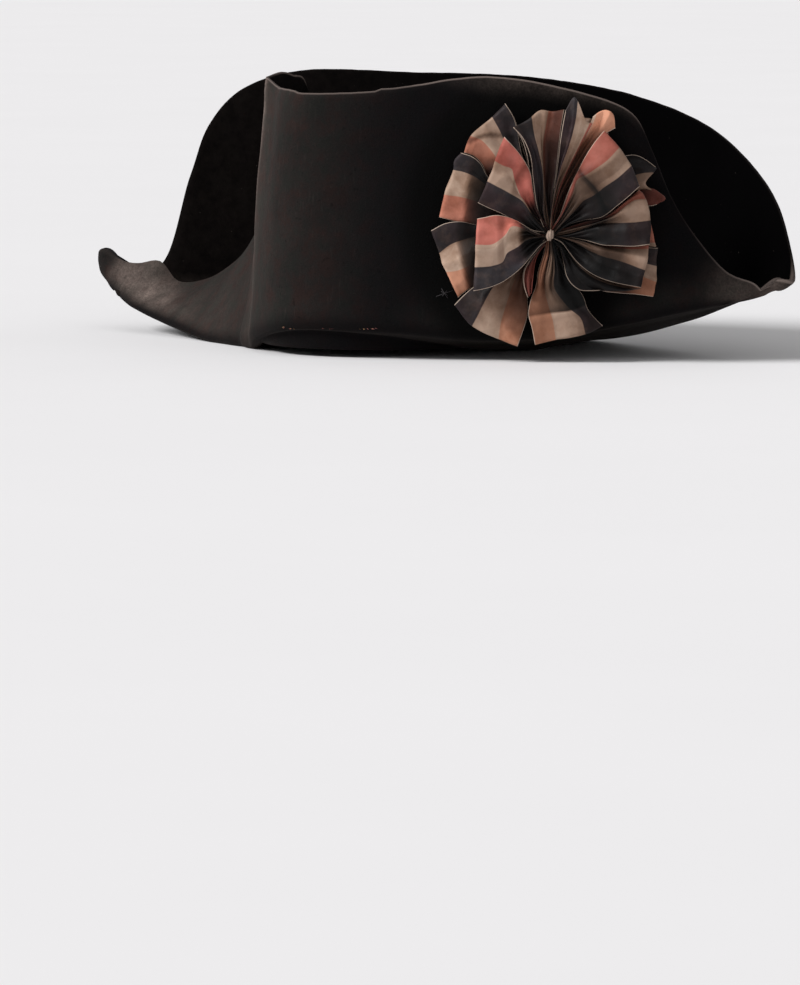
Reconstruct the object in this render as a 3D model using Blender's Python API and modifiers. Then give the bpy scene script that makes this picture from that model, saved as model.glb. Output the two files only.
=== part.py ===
"""A felt bicorne with a ribbon cockade, standing on its rim.

Metres, +Z up. The front faces -Y and the wearer's left is +X. The origin lies on the floor under the middle
of the hat. The felt is one piece: a low round crown whose wide brim is turned up close to the front of the
crown, leans out behind it, and closes into a narrow upturned horn on each side. The ribbon is gathered
into loops on the wearer's left. Near is the wearer's left side, with the ribbon, and far is the right side.
"""

from collections import namedtuple
import math

import bmesh
import bpy
from mathutils import Matrix, Vector

# Felt
FELT = 0.0026
OPENING_WIDTH = 0.154
OPENING_LENGTH = 0.194
CROWN_HEIGHT = 0.108
CROWN_TAPER = 0.13
CROWN_SHOULDER = 0.034
CROWN_DOME = 0.005
HALF_SPAN = 0.247
FLAP_HEIGHT = 0.156
RIM_ROUND = 0.003
FOLD_ROUND = 0.024
MOST_ROUNDING = 0.45
FLATTENED = 0.0004
FLOOR_CUT_SIZE = 0.75
FLOOR_CUT_DEPTH = 0.02

# Cockade
COCKADE_RADIUS = 0.070
RIBBON = 0.0011
LOOP_CUP = 0.0015
GATHER_WIDTH = 0.006
GATHER_RADIUS = 0.0035
CORE_RADIUS = 0.0080
CORE_TOP_RADIUS = 0.0064
CORE_HEIGHT = 0.0052
KNOT_WIDTH = 0.0070
KNOT_HEIGHT = 0.0062
KNOT_DEPTH = 0.0050
KNOT_ROUND = 0.0015
COCKADE_TURN = -31.2
COCKADE_UP = 0.335
GAP = 0.0003

# Fineness of the meshes
COLUMNS_PER_SECTION = 2
WALL_RINGS = 5
FLOOR_RINGS = 2
ROUND_RINGS = 4
CROWN_WALL_RINGS = 2
SHOULDER_RINGS = 3
TOP_RINGS = 1
LOOP_RINGS = 4
END_RINGS = 3
LOOP_COLUMNS = 2
CORE_SIDES = 16
KNOT_SEGMENTS = 2

# Worked out from the sizes above
SIDE_REACH = HALF_SPAN - OPENING_WIDTH / 2
RIM_HALF_WIDTH = OPENING_WIDTH / 2 + FELT / 2
RIM_HALF_LENGTH = OPENING_LENGTH / 2 + FELT / 2
REST_HEIGHT = FELT / 2 - FLATTENED

# The brim, section by section round the hat. The turn is in degrees round the head opening, from +X to +Y.
# A fold and an edge are given from the rim at that turn: x and y as shares of the side reach, and heights
# as shares of the flap height. Rounding is a share of the fold round.
Section = namedtuple("Section", "place turn rim_up fold_x fold_y fold_up edge_x edge_y edge_up rounding")
SECTIONS = (
    Section("front middle", -90, 0.105, 0.00, -0.04, 0.112, 0.00, 0.00, 0.958, 0.25),
    Section("front near", -62, 0.093, 0.10, -0.04, 0.106, 0.08, 0.00, 0.974, 0.30),
    Section("near corner", -42, 0.064, 0.23, -0.02, 0.083, 0.23, 0.02, 1.016, 0.40),
    Section("near cheek", -30, 0.045, 0.35, -0.01, 0.090, 0.44, 0.08, 0.965, 0.50),
    Section("near shoulder", -24, 0.032, 0.43, 0.01, 0.109, 0.55, 0.13, 0.885, 0.55),
    Section("near slope", -20, 0.026, 0.50, 0.02, 0.125, 0.59, 0.13, 0.756, 0.60),
    Section("near fall", -16, 0.023, 0.57, 0.04, 0.147, 0.64, 0.11, 0.596, 0.55),
    Section("near dip", -11, 0.021, 0.67, 0.06, 0.183, 0.71, 0.10, 0.442, 0.50),
    Section("near notch", -5, 0.020, 0.79, 0.10, 0.221, 0.88, 0.12, 0.256, 0.35),
    Section("near tip", 0, 0.013, 0.85, 0.11, 0.231, 0.99, 0.13, 0.285, 0.40),
    Section("near tip back", 6, 0.008, 0.79, 0.12, 0.218, 0.94, 0.12, 0.429, 0.50),
    Section("near back low", 15, 0.000, 0.67, 0.10, 0.167, 0.84, 0.12, 0.583, 0.75),
    Section("near back", 36, 0.000, 0.35, 0.11, 0.058, 0.53, 0.18, 0.800, 0.90),
    Section("near back middle", 60, 0.000, 0.16, 0.08, 0.010, 0.24, 0.18, 0.920, 0.50),
    Section("back middle", 90, 0.000, 0.00, 0.06, 0.006, 0.00, 0.16, 0.971, 0.35),
    Section("far back middle", 120, 0.000, -0.16, 0.09, 0.008, -0.23, 0.19, 0.990, 0.50),
    Section("far back", 144, 0.000, -0.32, 0.12, 0.020, -0.50, 0.21, 0.990, 0.85),
    Section("far back high", 155, 0.000, -0.47, 0.11, 0.051, -0.63, 0.20, 0.912, 0.75),
    Section("far back bend", 162, 0.000, -0.57, 0.12, 0.080, -0.69, 0.19, 0.776, 0.70),
    Section("far back low", 169, 0.000, -0.67, 0.12, 0.115, -0.74, 0.20, 0.590, 0.60),
    Section("far back foot", 176, 0.000, -0.76, 0.15, 0.154, -0.76, 0.18, 0.269, 0.35),
    Section("far tip", 180.5, 0.000, -0.945, 0.135, 0.212, -0.99, 0.15, 0.297, 0.20),
    Section("far tip front", 184, 0.000, -0.89, 0.11, 0.167, -0.87, 0.13, 0.269, 0.25),
    Section("far lip", 188.5, 0.000, -0.83, 0.12, 0.131, -0.70, 0.19, 0.256, 0.35),
    Section("far dip", 193, 0.000, -0.75, 0.11, 0.106, -0.61, 0.23, 0.186, 0.50),
    Section("far front low", 200, 0.000, -0.64, 0.12, 0.077, -0.50, 0.30, 0.205, 0.80),
    Section("far front", 207, 0.000, -0.50, 0.11, 0.044, -0.38, 0.35, 0.282, 0.85),
    Section("far flank", 210.5, 0.000, -0.37, 0.08, 0.020, -0.29, 0.35, 0.372, 0.75),
    Section("far turn low", 214, 0.000, -0.25, 0.05, 0.012, -0.19, 0.39, 0.603, 0.60),
    Section("far turn", 217, 0.000, -0.16, 0.02, 0.006, -0.11, 0.44, 0.846, 0.40),
    Section("far back corner", 219, 0.000, -0.09, 0.00, 0.006, -0.08, 0.38, 0.981, 0.35),
    Section("far top", 220.5, 0.000, -0.06, -0.02, 0.006, -0.04, 0.19, 1.013, 0.30),
    Section("crease", 222, 0.000, -0.01, -0.04, 0.006, 0.01, 0.03, 1.000, 0.25),
    Section("front far", 232, 0.038, -0.01, -0.04, 0.051, 0.02, 0.06, 0.971, 0.25),
    Section("front far middle", 250, 0.083, 0.02, -0.05, 0.090, 0.02, 0.02, 0.965, 0.25),
)
SHARP = "crease"

# The loops of ribbon. Each row gives the two ends of a loop's outer fold, as a turn in degrees in the plane
# of the cockade and a reach as a share of its radius, then how steeply the loop stands off and how far it
# opens, in metres.
Loop = namedtuple("Loop", "turn_a reach_a turn_b reach_b rise opening")
BACK_LOOPS = (
    Loop(107, 1.10, 134, 0.95, 0.070, 0.0050),
    Loop(136, 0.95, 171, 0.89, 0.040, 0.0046),
    Loop(177, 0.93, 212, 0.86, 0.060, 0.0050),
    Loop(216, 0.91, 252, 0.90, 0.035, 0.0050),
    Loop(263, 0.85, 302, 0.80, 0.050, 0.0055),
    Loop(331, 0.95, 366, 0.87, 0.045, 0.0050),
    Loop(377, 0.97, 396, 1.01, 0.060, 0.0045),
    Loop(420, 0.92, 450, 0.95, 0.040, 0.0045),
)
FRONT_LOOPS = (
    Loop(113, 0.88, 153, 0.63, 0.28, 0.0060),
    Loop(163, 0.60, 216, 0.72, 0.22, 0.0060),
    Loop(236, 0.44, 268, 0.40, 0.34, 0.0050),
    Loop(284, 0.42, 306, 0.46, 0.26, 0.0050),
    Loop(313, 0.68, 350, 0.80, 0.20, 0.0075),
    Loop(355, 0.82, 388, 0.82, 0.28, 0.0060),
    Loop(390, 0.82, 421, 0.96, 0.22, 0.0060),
    Loop(419, 1.00, 431, 1.05, 0.30, 0.0050),
    Loop(437, 1.12, 443, 1.10, 0.34, 0.0045),
    Loop(444, 1.01, 454, 1.00, 0.27, 0.0045),
    Loop(456, 0.98, 468, 0.93, 0.33, 0.0045),
)


def clear_scene():
    for obj in list(bpy.data.objects):
        bpy.data.objects.remove(obj, do_unlink=True)


def new_collection(name, parent, hidden=False):
    collection = bpy.data.collections.new(name)
    parent.children.link(collection)
    collection.hide_render = hidden
    return collection


def material(name, colour, roughness):
    made = bpy.data.materials.new(name)
    made.use_nodes = True
    shader = made.node_tree.nodes["Principled BSDF"]
    shader.inputs["Base Color"].default_value = (*colour, 1.0)
    shader.inputs["Roughness"].default_value = roughness
    shader.inputs["Metallic"].default_value = 0.0
    made.diffuse_color = (*colour, 1.0)
    return made


def new_object(name, collection, bm, finish=None):
    mesh = bpy.data.meshes.new(name)
    bm.to_mesh(mesh)
    bm.free()
    if finish:
        mesh.materials.append(finish)
    obj = bpy.data.objects.new(name, mesh)
    collection.objects.link(obj)
    return obj


def make_guide(obj):
    obj.hide_render = True
    obj.display_type = "WIRE"


def rim_point(turn, height=0.0, inset=0.0):
    """A point of the head opening's oval, drawn in towards the middle by the share inset."""
    angle = math.radians(turn)
    x = RIM_HALF_WIDTH * (1 - inset) * math.cos(angle)
    y = RIM_HALF_LENGTH * (1 - inset) * math.sin(angle)
    return Vector((x, y, height))


def measured(section):
    """The turn and rounding of a section, with its rim, fold and edge as points of the hat."""
    base = rim_point(section.turn)
    rim = base + Vector((0, 0, max(REST_HEIGHT, section.rim_up * FLAP_HEIGHT)))
    fold_height = max(REST_HEIGHT, section.fold_up * FLAP_HEIGHT)
    fold = base + Vector((section.fold_x * SIDE_REACH, section.fold_y * SIDE_REACH, fold_height))
    edge_height = section.edge_up * FLAP_HEIGHT
    edge = base + Vector((section.edge_x * SIDE_REACH, section.edge_y * SIDE_REACH, edge_height))
    return [section.turn, section.rounding * FOLD_ROUND, rim.z, *fold, *edge]


def slope_between(before, here, after, gap_before, gap_after):
    """The slope of a smooth curve where it passes a section."""
    total = gap_before + gap_after
    return [
        ((h - b) / gap_before * gap_after + (a - h) / gap_after * gap_before) / total
        for b, h, a in zip(before, here, after)
    ]


def curve_weights(t, run):
    """What the start, its slope, the end and its slope each add to a smooth curve at the share t of its run."""
    return (
        2 * t**3 - 3 * t**2 + 1,
        (t**3 - 2 * t**2 + t) * run,
        3 * t**2 - 2 * t**3,
        (t**3 - t**2) * run,
    )


def columns_round_hat():
    """Smooth columns through the sections, all the way round, broken only at the sharp crease."""
    rows = [measured(section) for section in SECTIONS]
    sharp = [section.place for section in SECTIONS].index(SHARP)
    count = len(rows)

    def row(i):
        laps, place = divmod(i, count)
        return [rows[place][0] + 360 * laps, *rows[place][1:]]

    def gap(i):
        return math.dist(row(i)[6:9], row(i + 1)[6:9]) ** 0.5

    columns = []
    for i in range(count):
        here, after = row(i), row(i + 1)
        run = gap(i)
        straight = [(a - h) / run for h, a in zip(here, after)]
        leaving = slope_between(row(i - 1), here, after, gap(i - 1), run)
        arriving = slope_between(here, after, row(i + 2), run, gap(i + 1))
        if i == sharp:
            leaving = straight
        if (i + 1) % count == sharp:
            arriving = straight
        for step in range(COLUMNS_PER_SECTION):
            weights = curve_weights(step / COLUMNS_PER_SECTION, run)
            parts = zip(here, leaving, after, arriving)
            columns.append([sum(w * v for w, v in zip(weights, values)) for values in parts])
    return columns


def rounded_corner(before, corner, after, reach, rings):
    """Points along a corner that is rounded over the given reach."""
    inward, outward = before - corner, after - corner
    start = corner + inward.normalized() * min(reach, MOST_ROUNDING * inward.length)
    end = corner + outward.normalized() * min(reach, MOST_ROUNDING * outward.length)
    points = []
    for ring in range(rings):
        t = ring / (rings - 1)
        points.append(start * (1 - t) ** 2 + corner * 2 * t * (1 - t) + end * t**2)
    return points


def crown_profile(turn):
    """Points of the crown above one place of the rim, from the middle of its top down the wall."""
    height = CROWN_HEIGHT
    shoulder = CROWN_SHOULDER / RIM_HALF_WIDTH
    points = []
    # The top rises as the square root of the way in, so that its middle stays nearly flat.
    for ring in range(1, TOP_RINGS + 1):
        inset = 1 - (1 - CROWN_TAPER - shoulder) * ring / (TOP_RINGS + 1)
        points.append(rim_point(turn, height + CROWN_DOME * inset**0.5, inset))
    for ring in range(SHOULDER_RINGS):
        angle = math.pi / 2 * ring / (SHOULDER_RINGS - 1)
        inset = CROWN_TAPER + shoulder * (1 - math.sin(angle))
        points.append(rim_point(turn, height - CROWN_SHOULDER * (1 - math.cos(angle)), inset))
    shoulder_height = height - CROWN_SHOULDER
    for ring in range(1, CROWN_WALL_RINGS + 1):
        share = 1 - ring / (CROWN_WALL_RINGS + 1)
        points.append(rim_point(turn, shoulder_height * share, CROWN_TAPER * share))
    return points


def rib(column):
    """One rib of the felt, from beside the middle of the crown to the free edge of the brim."""
    turn, rounding, rim_height = column[:3]
    rim = rim_point(turn, rim_height)
    fold, edge = Vector(column[3:6]), Vector(column[6:9])
    points = crown_profile(turn)
    points += rounded_corner(points[-1], rim, fold, RIM_ROUND, ROUND_RINGS)
    corner = rounded_corner(rim, fold, edge, rounding, ROUND_RINGS)
    floor_start = points[-1]
    for ring in range(1, FLOOR_RINGS + 1):
        points.append(floor_start.lerp(corner[0], ring / (FLOOR_RINGS + 1)))
    points += corner
    for ring in range(1, WALL_RINGS + 1):
        points.append(corner[-1].lerp(edge, ring / WALL_RINGS))
    return points


def hat_middle():
    """How far the middle of the whole hat lies behind the middle of the head opening."""
    front = min(column[4] for column in columns_round_hat())
    back = max(column[7] for column in columns_round_hat())
    return (front + back) / 2


def make_felt(collection, cutters, finish, setback):
    """The felt: a loft of unlike ribs round the head opening, given its thickness and pressed flat below."""
    bm = bmesh.new()
    shift = Vector((0, -setback, 0))
    ribs = [[bm.verts.new(point + shift) for point in rib(column)] for column in columns_round_hat()]
    top = bm.verts.new(Vector((0, -setback, CROWN_HEIGHT + CROWN_DOME)))
    for i, here in enumerate(ribs):
        after = ribs[(i + 1) % len(ribs)]
        bm.faces.new((top, here[0], after[0]))
        for ring in range(len(here) - 1):
            bm.faces.new((here[ring], here[ring + 1], after[ring + 1], after[ring]))
    bmesh.ops.recalc_face_normals(bm, faces=bm.faces)
    felt = new_object("felt_body", collection, bm, finish)
    wall = felt.modifiers.new("felt thickness", "SOLIDIFY")
    wall.thickness = FELT
    wall.offset = 0.0
    wall.use_even_offset = True
    wall.use_quality_normals = True
    press = felt.modifiers.new("pressed flat", "BOOLEAN")
    press.operation = "DIFFERENCE"
    press.solver = "EXACT"
    press.object = make_floor_cutter(cutters)
    return felt


def make_floor_cutter(cutters):
    bm = bmesh.new()
    size = Matrix.Diagonal((FLOOR_CUT_SIZE, FLOOR_CUT_SIZE, FLOOR_CUT_DEPTH, 1))
    below = Matrix.Translation((0, 0, -FLOOR_CUT_DEPTH / 2))
    bmesh.ops.create_cube(bm, size=1.0, matrix=below @ size)
    floor = new_object("floor_cutter", cutters, bm)
    make_guide(floor)
    return floor


def cockade_seat(collection, setback):
    """An empty on the outer face of the near flap: X along the flap, Y up it, Z out of the felt."""
    columns = columns_round_hat()
    after = next(i for i, column in enumerate(columns) if column[0] > COCKADE_TURN)
    before_turn, after_turn = columns[after - 1][0], columns[after][0]
    share = (COCKADE_TURN - before_turn) / (after_turn - before_turn)
    walls = [rib(column)[-1 - WALL_RINGS :] for column in (columns[after - 1], columns[after])]
    before_place, after_place = [wall[0].lerp(wall[-1], COCKADE_UP) for wall in walls]
    foot, edge = walls[0][0].lerp(walls[1][0], share), walls[0][-1].lerp(walls[1][-1], share)
    place = foot.lerp(edge, COCKADE_UP)
    out = (after_place - before_place).cross(edge - foot).normalized()
    across = Vector((0, 0, 1)).cross(out).normalized()
    up = out.cross(across)
    place += out * (FELT / 2) - Vector((0, setback, 0))
    seat = bpy.data.objects.new("cockade_seat", None)
    collection.objects.link(seat)
    turned = Matrix((across, up, out)).transposed().to_4x4()
    seat.matrix_world = Matrix.Translation(place) @ turned
    return seat


def polar(turn, reach):
    angle = math.radians(turn)
    return Vector((reach * math.cos(angle), reach * math.sin(angle), 0))


def loop_strip(bm, loop, foot):
    """One loop of ribbon as a strip: out from the gather, round the outer fold and back above itself."""
    middle = (loop.turn_a + loop.turn_b) / 2
    sideways = polar(middle + 90, GATHER_WIDTH / 2)
    start = polar(middle, GATHER_RADIUS)
    end_a = polar(loop.turn_a, loop.reach_a * COCKADE_RADIUS)
    end_b = polar(loop.turn_b, loop.reach_b * COCKADE_RADIUS)
    lines = []
    for column in range(LOOP_COLUMNS + 1):
        q = column / LOOP_COLUMNS
        inner = start + sideways * (2 * q - 1)
        outer = end_a.lerp(end_b, q)
        out = (outer - inner).normalized()
        length = (outer - inner).length
        half = loop.opening / 2
        cup = LOOP_CUP * (1 - (2 * q - 1) ** 2)
        line = []
        for ring in range(LOOP_RINGS):
            t = ring / LOOP_RINGS
            line.append((t * (length - half), half * (1 - t)))
        for ring in range(END_RINGS + 1):
            angle = math.pi * ring / END_RINGS
            line.append((length - half + half * math.sin(angle), half - half * math.cos(angle)))
        for ring in range(LOOP_RINGS - 1, -1, -1):
            t = ring / LOOP_RINGS
            line.append((t * (length - half), 2 * half - half * (1 - t)))
        verts = []
        for distance, height in line:
            place = inner + out * distance
            place.z = foot + RIBBON / 2 + height + loop.rise * distance + cup * distance / length
            verts.append(bm.verts.new(place))
        lines.append(verts)
    for here, after in zip(lines, lines[1:]):
        for ring in range(len(here) - 1):
            bm.faces.new((here[ring], here[ring + 1], after[ring + 1], after[ring]))


def make_rosette(name, collection, guides, finish, seat, loops, foot):
    """A gathered layer of the cockade: a small core that the loops of ribbon are fused to."""
    bm = bmesh.new()
    bmesh.ops.create_cone(
        bm,
        cap_ends=True,
        segments=CORE_SIDES,
        radius1=CORE_RADIUS,
        radius2=CORE_TOP_RADIUS,
        depth=CORE_HEIGHT,
        matrix=Matrix.Translation((0, 0, foot + CORE_HEIGHT / 2)),
    )
    core = new_object(name, collection, bm, finish)
    core.parent = seat
    strips = new_collection(name + "_strips", guides, hidden=True)
    for number, loop in enumerate(loops, 1):
        bm = bmesh.new()
        loop_strip(bm, loop, foot)
        bmesh.ops.recalc_face_normals(bm, faces=bm.faces)
        strip = new_object(f"{name}_strip_{number}", strips, bm)
        strip.parent = seat
        make_guide(strip)
        wall = strip.modifiers.new("ribbon thickness", "SOLIDIFY")
        wall.thickness = RIBBON
        wall.offset = 0.0
        wall.use_even_offset = True
    fuse = core.modifiers.new("loops", "BOOLEAN")
    fuse.operation = "UNION"
    fuse.solver = "EXACT"
    fuse.operand_type = "COLLECTION"
    fuse.collection = strips
    return core


def make_knot(collection, finish, seat, foot):
    """The small wrapped knot in the middle of the cockade."""
    bm = bmesh.new()
    size = Matrix.Diagonal((KNOT_WIDTH, KNOT_HEIGHT, KNOT_DEPTH, 1))
    lift = Matrix.Translation((0, 0, foot + KNOT_DEPTH / 2))
    bmesh.ops.create_cube(bm, size=1.0, matrix=lift @ size)
    knot = new_object("cockade_knot", collection, bm, finish)
    knot.parent = seat
    soft = knot.modifiers.new("rounded", "BEVEL")
    soft.width = KNOT_ROUND
    soft.segments = KNOT_SEGMENTS
    return knot


def main():
    clear_scene()
    whole_scene = bpy.context.scene.collection
    collection = new_collection("bicorne", whole_scene)
    guides = new_collection("cutters", whole_scene, hidden=True)
    felt_black = material("worn_black_felt", (0.030, 0.026, 0.023), 0.92)
    ribbon_cream = material("striped_silk_ribbon", (0.42, 0.29, 0.21), 0.55)
    knot_cream = material("cream_silk_knot", (0.50, 0.38, 0.28), 0.55)
    setback = hat_middle()
    make_felt(collection, guides, felt_black, setback)
    seat = cockade_seat(collection, setback)
    back_foot = GAP
    front_foot = back_foot + CORE_HEIGHT + GAP
    make_rosette("cockade_back_loops", collection, guides, ribbon_cream, seat, BACK_LOOPS, back_foot)
    make_rosette("cockade_front_loops", collection, guides, ribbon_cream, seat, FRONT_LOOPS, front_foot)
    make_knot(collection, knot_cream, seat, front_foot + CORE_HEIGHT + GAP)


if __name__ == "__main__":
    main()
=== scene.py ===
"""A felt bicorne with a striped ribbon cockade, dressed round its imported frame.

Metres, +Z up. The front faces -Y and the wearer's left, called near here, is +X. The hat stands on its rim.
"""

import math
import random
from bisect import bisect_right
from collections import namedtuple

import bmesh
import bpy
from mathutils import Matrix, Vector, noise


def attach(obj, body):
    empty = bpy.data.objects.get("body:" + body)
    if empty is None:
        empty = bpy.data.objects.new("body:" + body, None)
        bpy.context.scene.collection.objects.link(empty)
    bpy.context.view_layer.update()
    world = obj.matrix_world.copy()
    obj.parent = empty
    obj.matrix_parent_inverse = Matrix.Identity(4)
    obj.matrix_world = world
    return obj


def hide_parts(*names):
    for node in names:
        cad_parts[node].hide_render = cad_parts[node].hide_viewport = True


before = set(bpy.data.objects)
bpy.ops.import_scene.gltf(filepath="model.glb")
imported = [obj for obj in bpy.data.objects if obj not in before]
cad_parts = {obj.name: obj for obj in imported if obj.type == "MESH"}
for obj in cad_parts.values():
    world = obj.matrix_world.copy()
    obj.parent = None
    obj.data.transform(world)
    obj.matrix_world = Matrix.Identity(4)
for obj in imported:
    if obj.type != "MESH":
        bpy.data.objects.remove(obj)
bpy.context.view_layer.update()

bl_info = {
    "name": "Bicorne",
    "version": (1, 0, 0),
    "blender": (4, 5, 0),
    "location": "3D View > Sidebar > Bicorne",
    "description": "A felt bicorne with a striped ribbon cockade",
    "category": "Add Mesh",
}

BODY = "root"

# The brim, section by section round the hat. The turn is in degrees round the head opening, from +X to +Y.
# A fold and an edge are given from the rim at that turn: x and y as shares of the side reach, and heights
# as shares of the flap height. Rounding is a share of the fold round.
Section = namedtuple("Section", "place turn rim_up fold_x fold_y fold_up edge_x edge_y edge_up rounding")
SECTIONS = (
    Section("front middle", -90, 0.105, 0.00, -0.04, 0.112, 0.00, 0.00, 0.958, 0.25),
    Section("front near", -62, 0.093, 0.10, -0.04, 0.106, 0.08, 0.00, 0.974, 0.30),
    Section("near corner", -42, 0.064, 0.23, -0.02, 0.083, 0.23, 0.02, 1.016, 0.40),
    Section("near cheek", -30, 0.045, 0.35, -0.01, 0.090, 0.44, 0.08, 0.960, 0.50),
    Section("near shoulder", -24, 0.032, 0.43, 0.01, 0.109, 0.55, 0.13, 0.885, 0.55),
    Section("near slope", -20, 0.026, 0.50, 0.02, 0.125, 0.59, 0.13, 0.756, 0.60),
    Section("near fall", -16, 0.023, 0.57, 0.04, 0.147, 0.64, 0.11, 0.596, 0.55),
    Section("near dip", -11, 0.021, 0.67, 0.06, 0.178, 0.71, 0.10, 0.442, 0.50),
    Section("near foot", -8, 0.021, 0.73, 0.08, 0.196, 0.806, 0.111, 0.317, 0.45),
    Section("near flap end", -5.6, 0.020, 0.78, 0.10, 0.211, 0.877, 0.126, 0.283, 0.36),
    Section("near notch", -5, 0.020, 0.79, 0.10, 0.213, 0.897, 0.131, 0.2597, 0.35),
    Section("near lip", -3, 0.018, 0.814, 0.104, 0.219, 0.936, 0.146, 0.2955, 0.37),
    Section("near tip", 0, 0.013, 0.85, 0.11, 0.231, 0.985, 0.13, 0.290, 0.40),
    Section("near tip back", 6, 0.008, 0.79, 0.12, 0.218, 0.94, 0.12, 0.429, 0.50),
    Section("near back low", 15, 0.000, 0.67, 0.10, 0.167, 0.84, 0.12, 0.583, 0.75),
    Section("near back", 36, 0.000, 0.35, 0.11, 0.058, 0.53, 0.18, 0.800, 0.90),
    Section("near back middle", 60, 0.000, 0.16, 0.08, 0.010, 0.24, 0.18, 0.920, 0.50),
    Section("back middle", 90, 0.000, 0.00, 0.06, 0.006, 0.00, 0.16, 0.979, 0.35),
    Section("far back middle", 120, 0.000, -0.16, 0.09, 0.008, -0.23, 0.19, 0.990, 0.50),
    Section("far back", 144, 0.000, -0.32, 0.12, 0.020, -0.50, 0.21, 0.990, 0.85),
    Section("far back high", 155, 0.000, -0.47, 0.11, 0.051, -0.63, 0.20, 0.912, 0.75),
    Section("far back bend", 162, 0.000, -0.57, 0.12, 0.080, -0.69, 0.19, 0.776, 0.70),
    Section("far back low", 169, 0.000, -0.67, 0.12, 0.115, -0.71, 0.20, 0.590, 0.60),
    Section("far back foot", 176, 0.000, -0.76, 0.15, 0.150, -0.785, 0.18, 0.230, 0.30),
    Section("far tip", 180.5, 0.000, -0.945, 0.135, 0.212, -0.978, 0.15, 0.292, 0.20),
    Section("far nub", 182, 0.000, -0.921, 0.124, 0.193, -0.9215, 0.139, 0.297, 0.22),
    Section("far tip front", 184, 0.000, -0.89, 0.11, 0.167, -0.87, 0.13, 0.269, 0.25),
    Section("far lip low", 186.5, 0.000, -0.86, 0.115, 0.148, -0.781, 0.164, 0.2545, 0.30),
    Section("far lip", 188.5, 0.000, -0.83, 0.12, 0.129, -0.685, 0.19, 0.266, 0.35),
    Section("far dip", 193, 0.000, -0.75, 0.11, 0.100, -0.61, 0.23, 0.192, 0.48),
    Section("far front low", 200, 0.000, -0.64, 0.12, 0.068, -0.50, 0.30, 0.205, 0.70),
    Section("far front", 207, 0.000, -0.50, 0.11, 0.034, -0.38, 0.35, 0.282, 0.85),
    Section("far flank", 210.5, 0.000, -0.37, 0.08, 0.012, -0.29, 0.35, 0.372, 0.65),
    Section("far turn low", 214, 0.000, -0.25, 0.05, 0.008, -0.19, 0.39, 0.603, 0.45),
    Section("far turn", 217, 0.000, -0.16, 0.02, 0.006, -0.11, 0.44, 0.846, 0.40),
    Section("far back corner", 219, 0.000, -0.09, 0.00, 0.006, -0.095, 0.38, 0.981, 0.35),
    Section("far corner", 219.8, 0.000, -0.075, -0.01, 0.006, -0.0675, 0.285, 0.999, 0.33),
    Section("far top", 220.5, 0.000, -0.06, -0.02, 0.006, -0.04, 0.19, 1.013, 0.30),
    Section("crease", 222, 0.000, -0.01, -0.04, 0.006, 0.01, 0.03, 1.000, 0.25),
    Section("front far", 232, 0.038, -0.01, -0.04, 0.051, 0.02, 0.06, 0.971, 0.25),
    Section("front far middle", 250, 0.083, 0.02, -0.05, 0.090, 0.02, 0.02, 0.965, 0.25),
)
SHARP = ("crease", "near notch")
# Past this turn the columns belong to the front, which EDGE_WEAR_AND_LIGHT counts from -142.
LAST_FAR_TURN = 218
# The stretch of the front's cut edge that has worn back, by its turn: where that begins, and where it ends.
# How uneven the whole edge is, and how far that stretch has worn back, count in depths of a nick.
WORN_BACK_START = (-99.0, -98.0)
WORN_BACK_END = (-66.0, -65.3)
UNEVEN = 0.35
WORN_BACK = 1.5
# The felt's soft dents: heights above the floor between which they begin, how many there are to the metre,
# and the depth of each kind, which grows inwards from the cut edge.
DENTS_START = (0.006, 0.035)
DENTS_INWARDS = (0.0, 0.02)
BROAD_DENTS = 17.0
SMALL_DENTS = 48.0
BROAD_DEPTH = 0.35
SMALL_DEPTH = 0.3
# How far the cut edge's corners are softened, in metres, and the least angle between faces there.
SOFTENED = 0.0006
SOFTENED_ANGLE = 55
# The disc in the middle of the crown's top, before its edge is moved to the first ring.
DISC_RADIUS = 0.01
# The smooth pinched end of the far horn.
FAR_NUB = (-0.2390, 0.010, 0.043)
# The rolled end of the near horn.
NEAR_LIP = (0.2410, 0.010, 0.044)

# How finely the felt is divided: the widest column in metres, and rings for each stretch of a rib.
COLUMN_WIDTH = 0.0034
LEAST_COLUMNS = 3
TOP_RINGS = 7
SHOULDER_RINGS = 9
CROWN_WALL_RINGS = 12
RIM_RINGS = 5
FLOOR_RINGS = 9
FOLD_RINGS = 10
WALL_RINGS = 38
MOST_ROUNDING = 0.45

# Worn places of the felt, in metres, with how far each reaches and how worn it is.
Worn = namedtuple("Worn", "place x y z reach strength")
WORN_PLACES = (
    Worn("far horn tip", -0.2160, 0.003, 0.034, 0.014, 0.50),
    Worn("far horn upper side", -0.2020, 0.005, 0.035, 0.012, 0.46),
    Worn("far horn slope", -0.2110, -0.001, 0.027, 0.014, 0.55),
    Worn("far horn middle", -0.1940, -0.004, 0.0225, 0.016, 0.70),
    Worn("far horn low side", -0.1810, -0.013, 0.018, 0.014, 0.60),
    Worn("far horn fold", -0.1680, -0.024, 0.0135, 0.012, 0.30),
    Worn("far horn root", -0.1500, -0.032, 0.012, 0.018, 0.16),
    Worn("far horn inner", -0.1150, -0.052, 0.010, 0.025, 0.10),
    Worn("near horn low", 0.2180, -0.004, 0.042, 0.014, 0.20),
    Worn("near lip", 0.2350, 0.009, 0.043, 0.012, 0.30),
)
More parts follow.
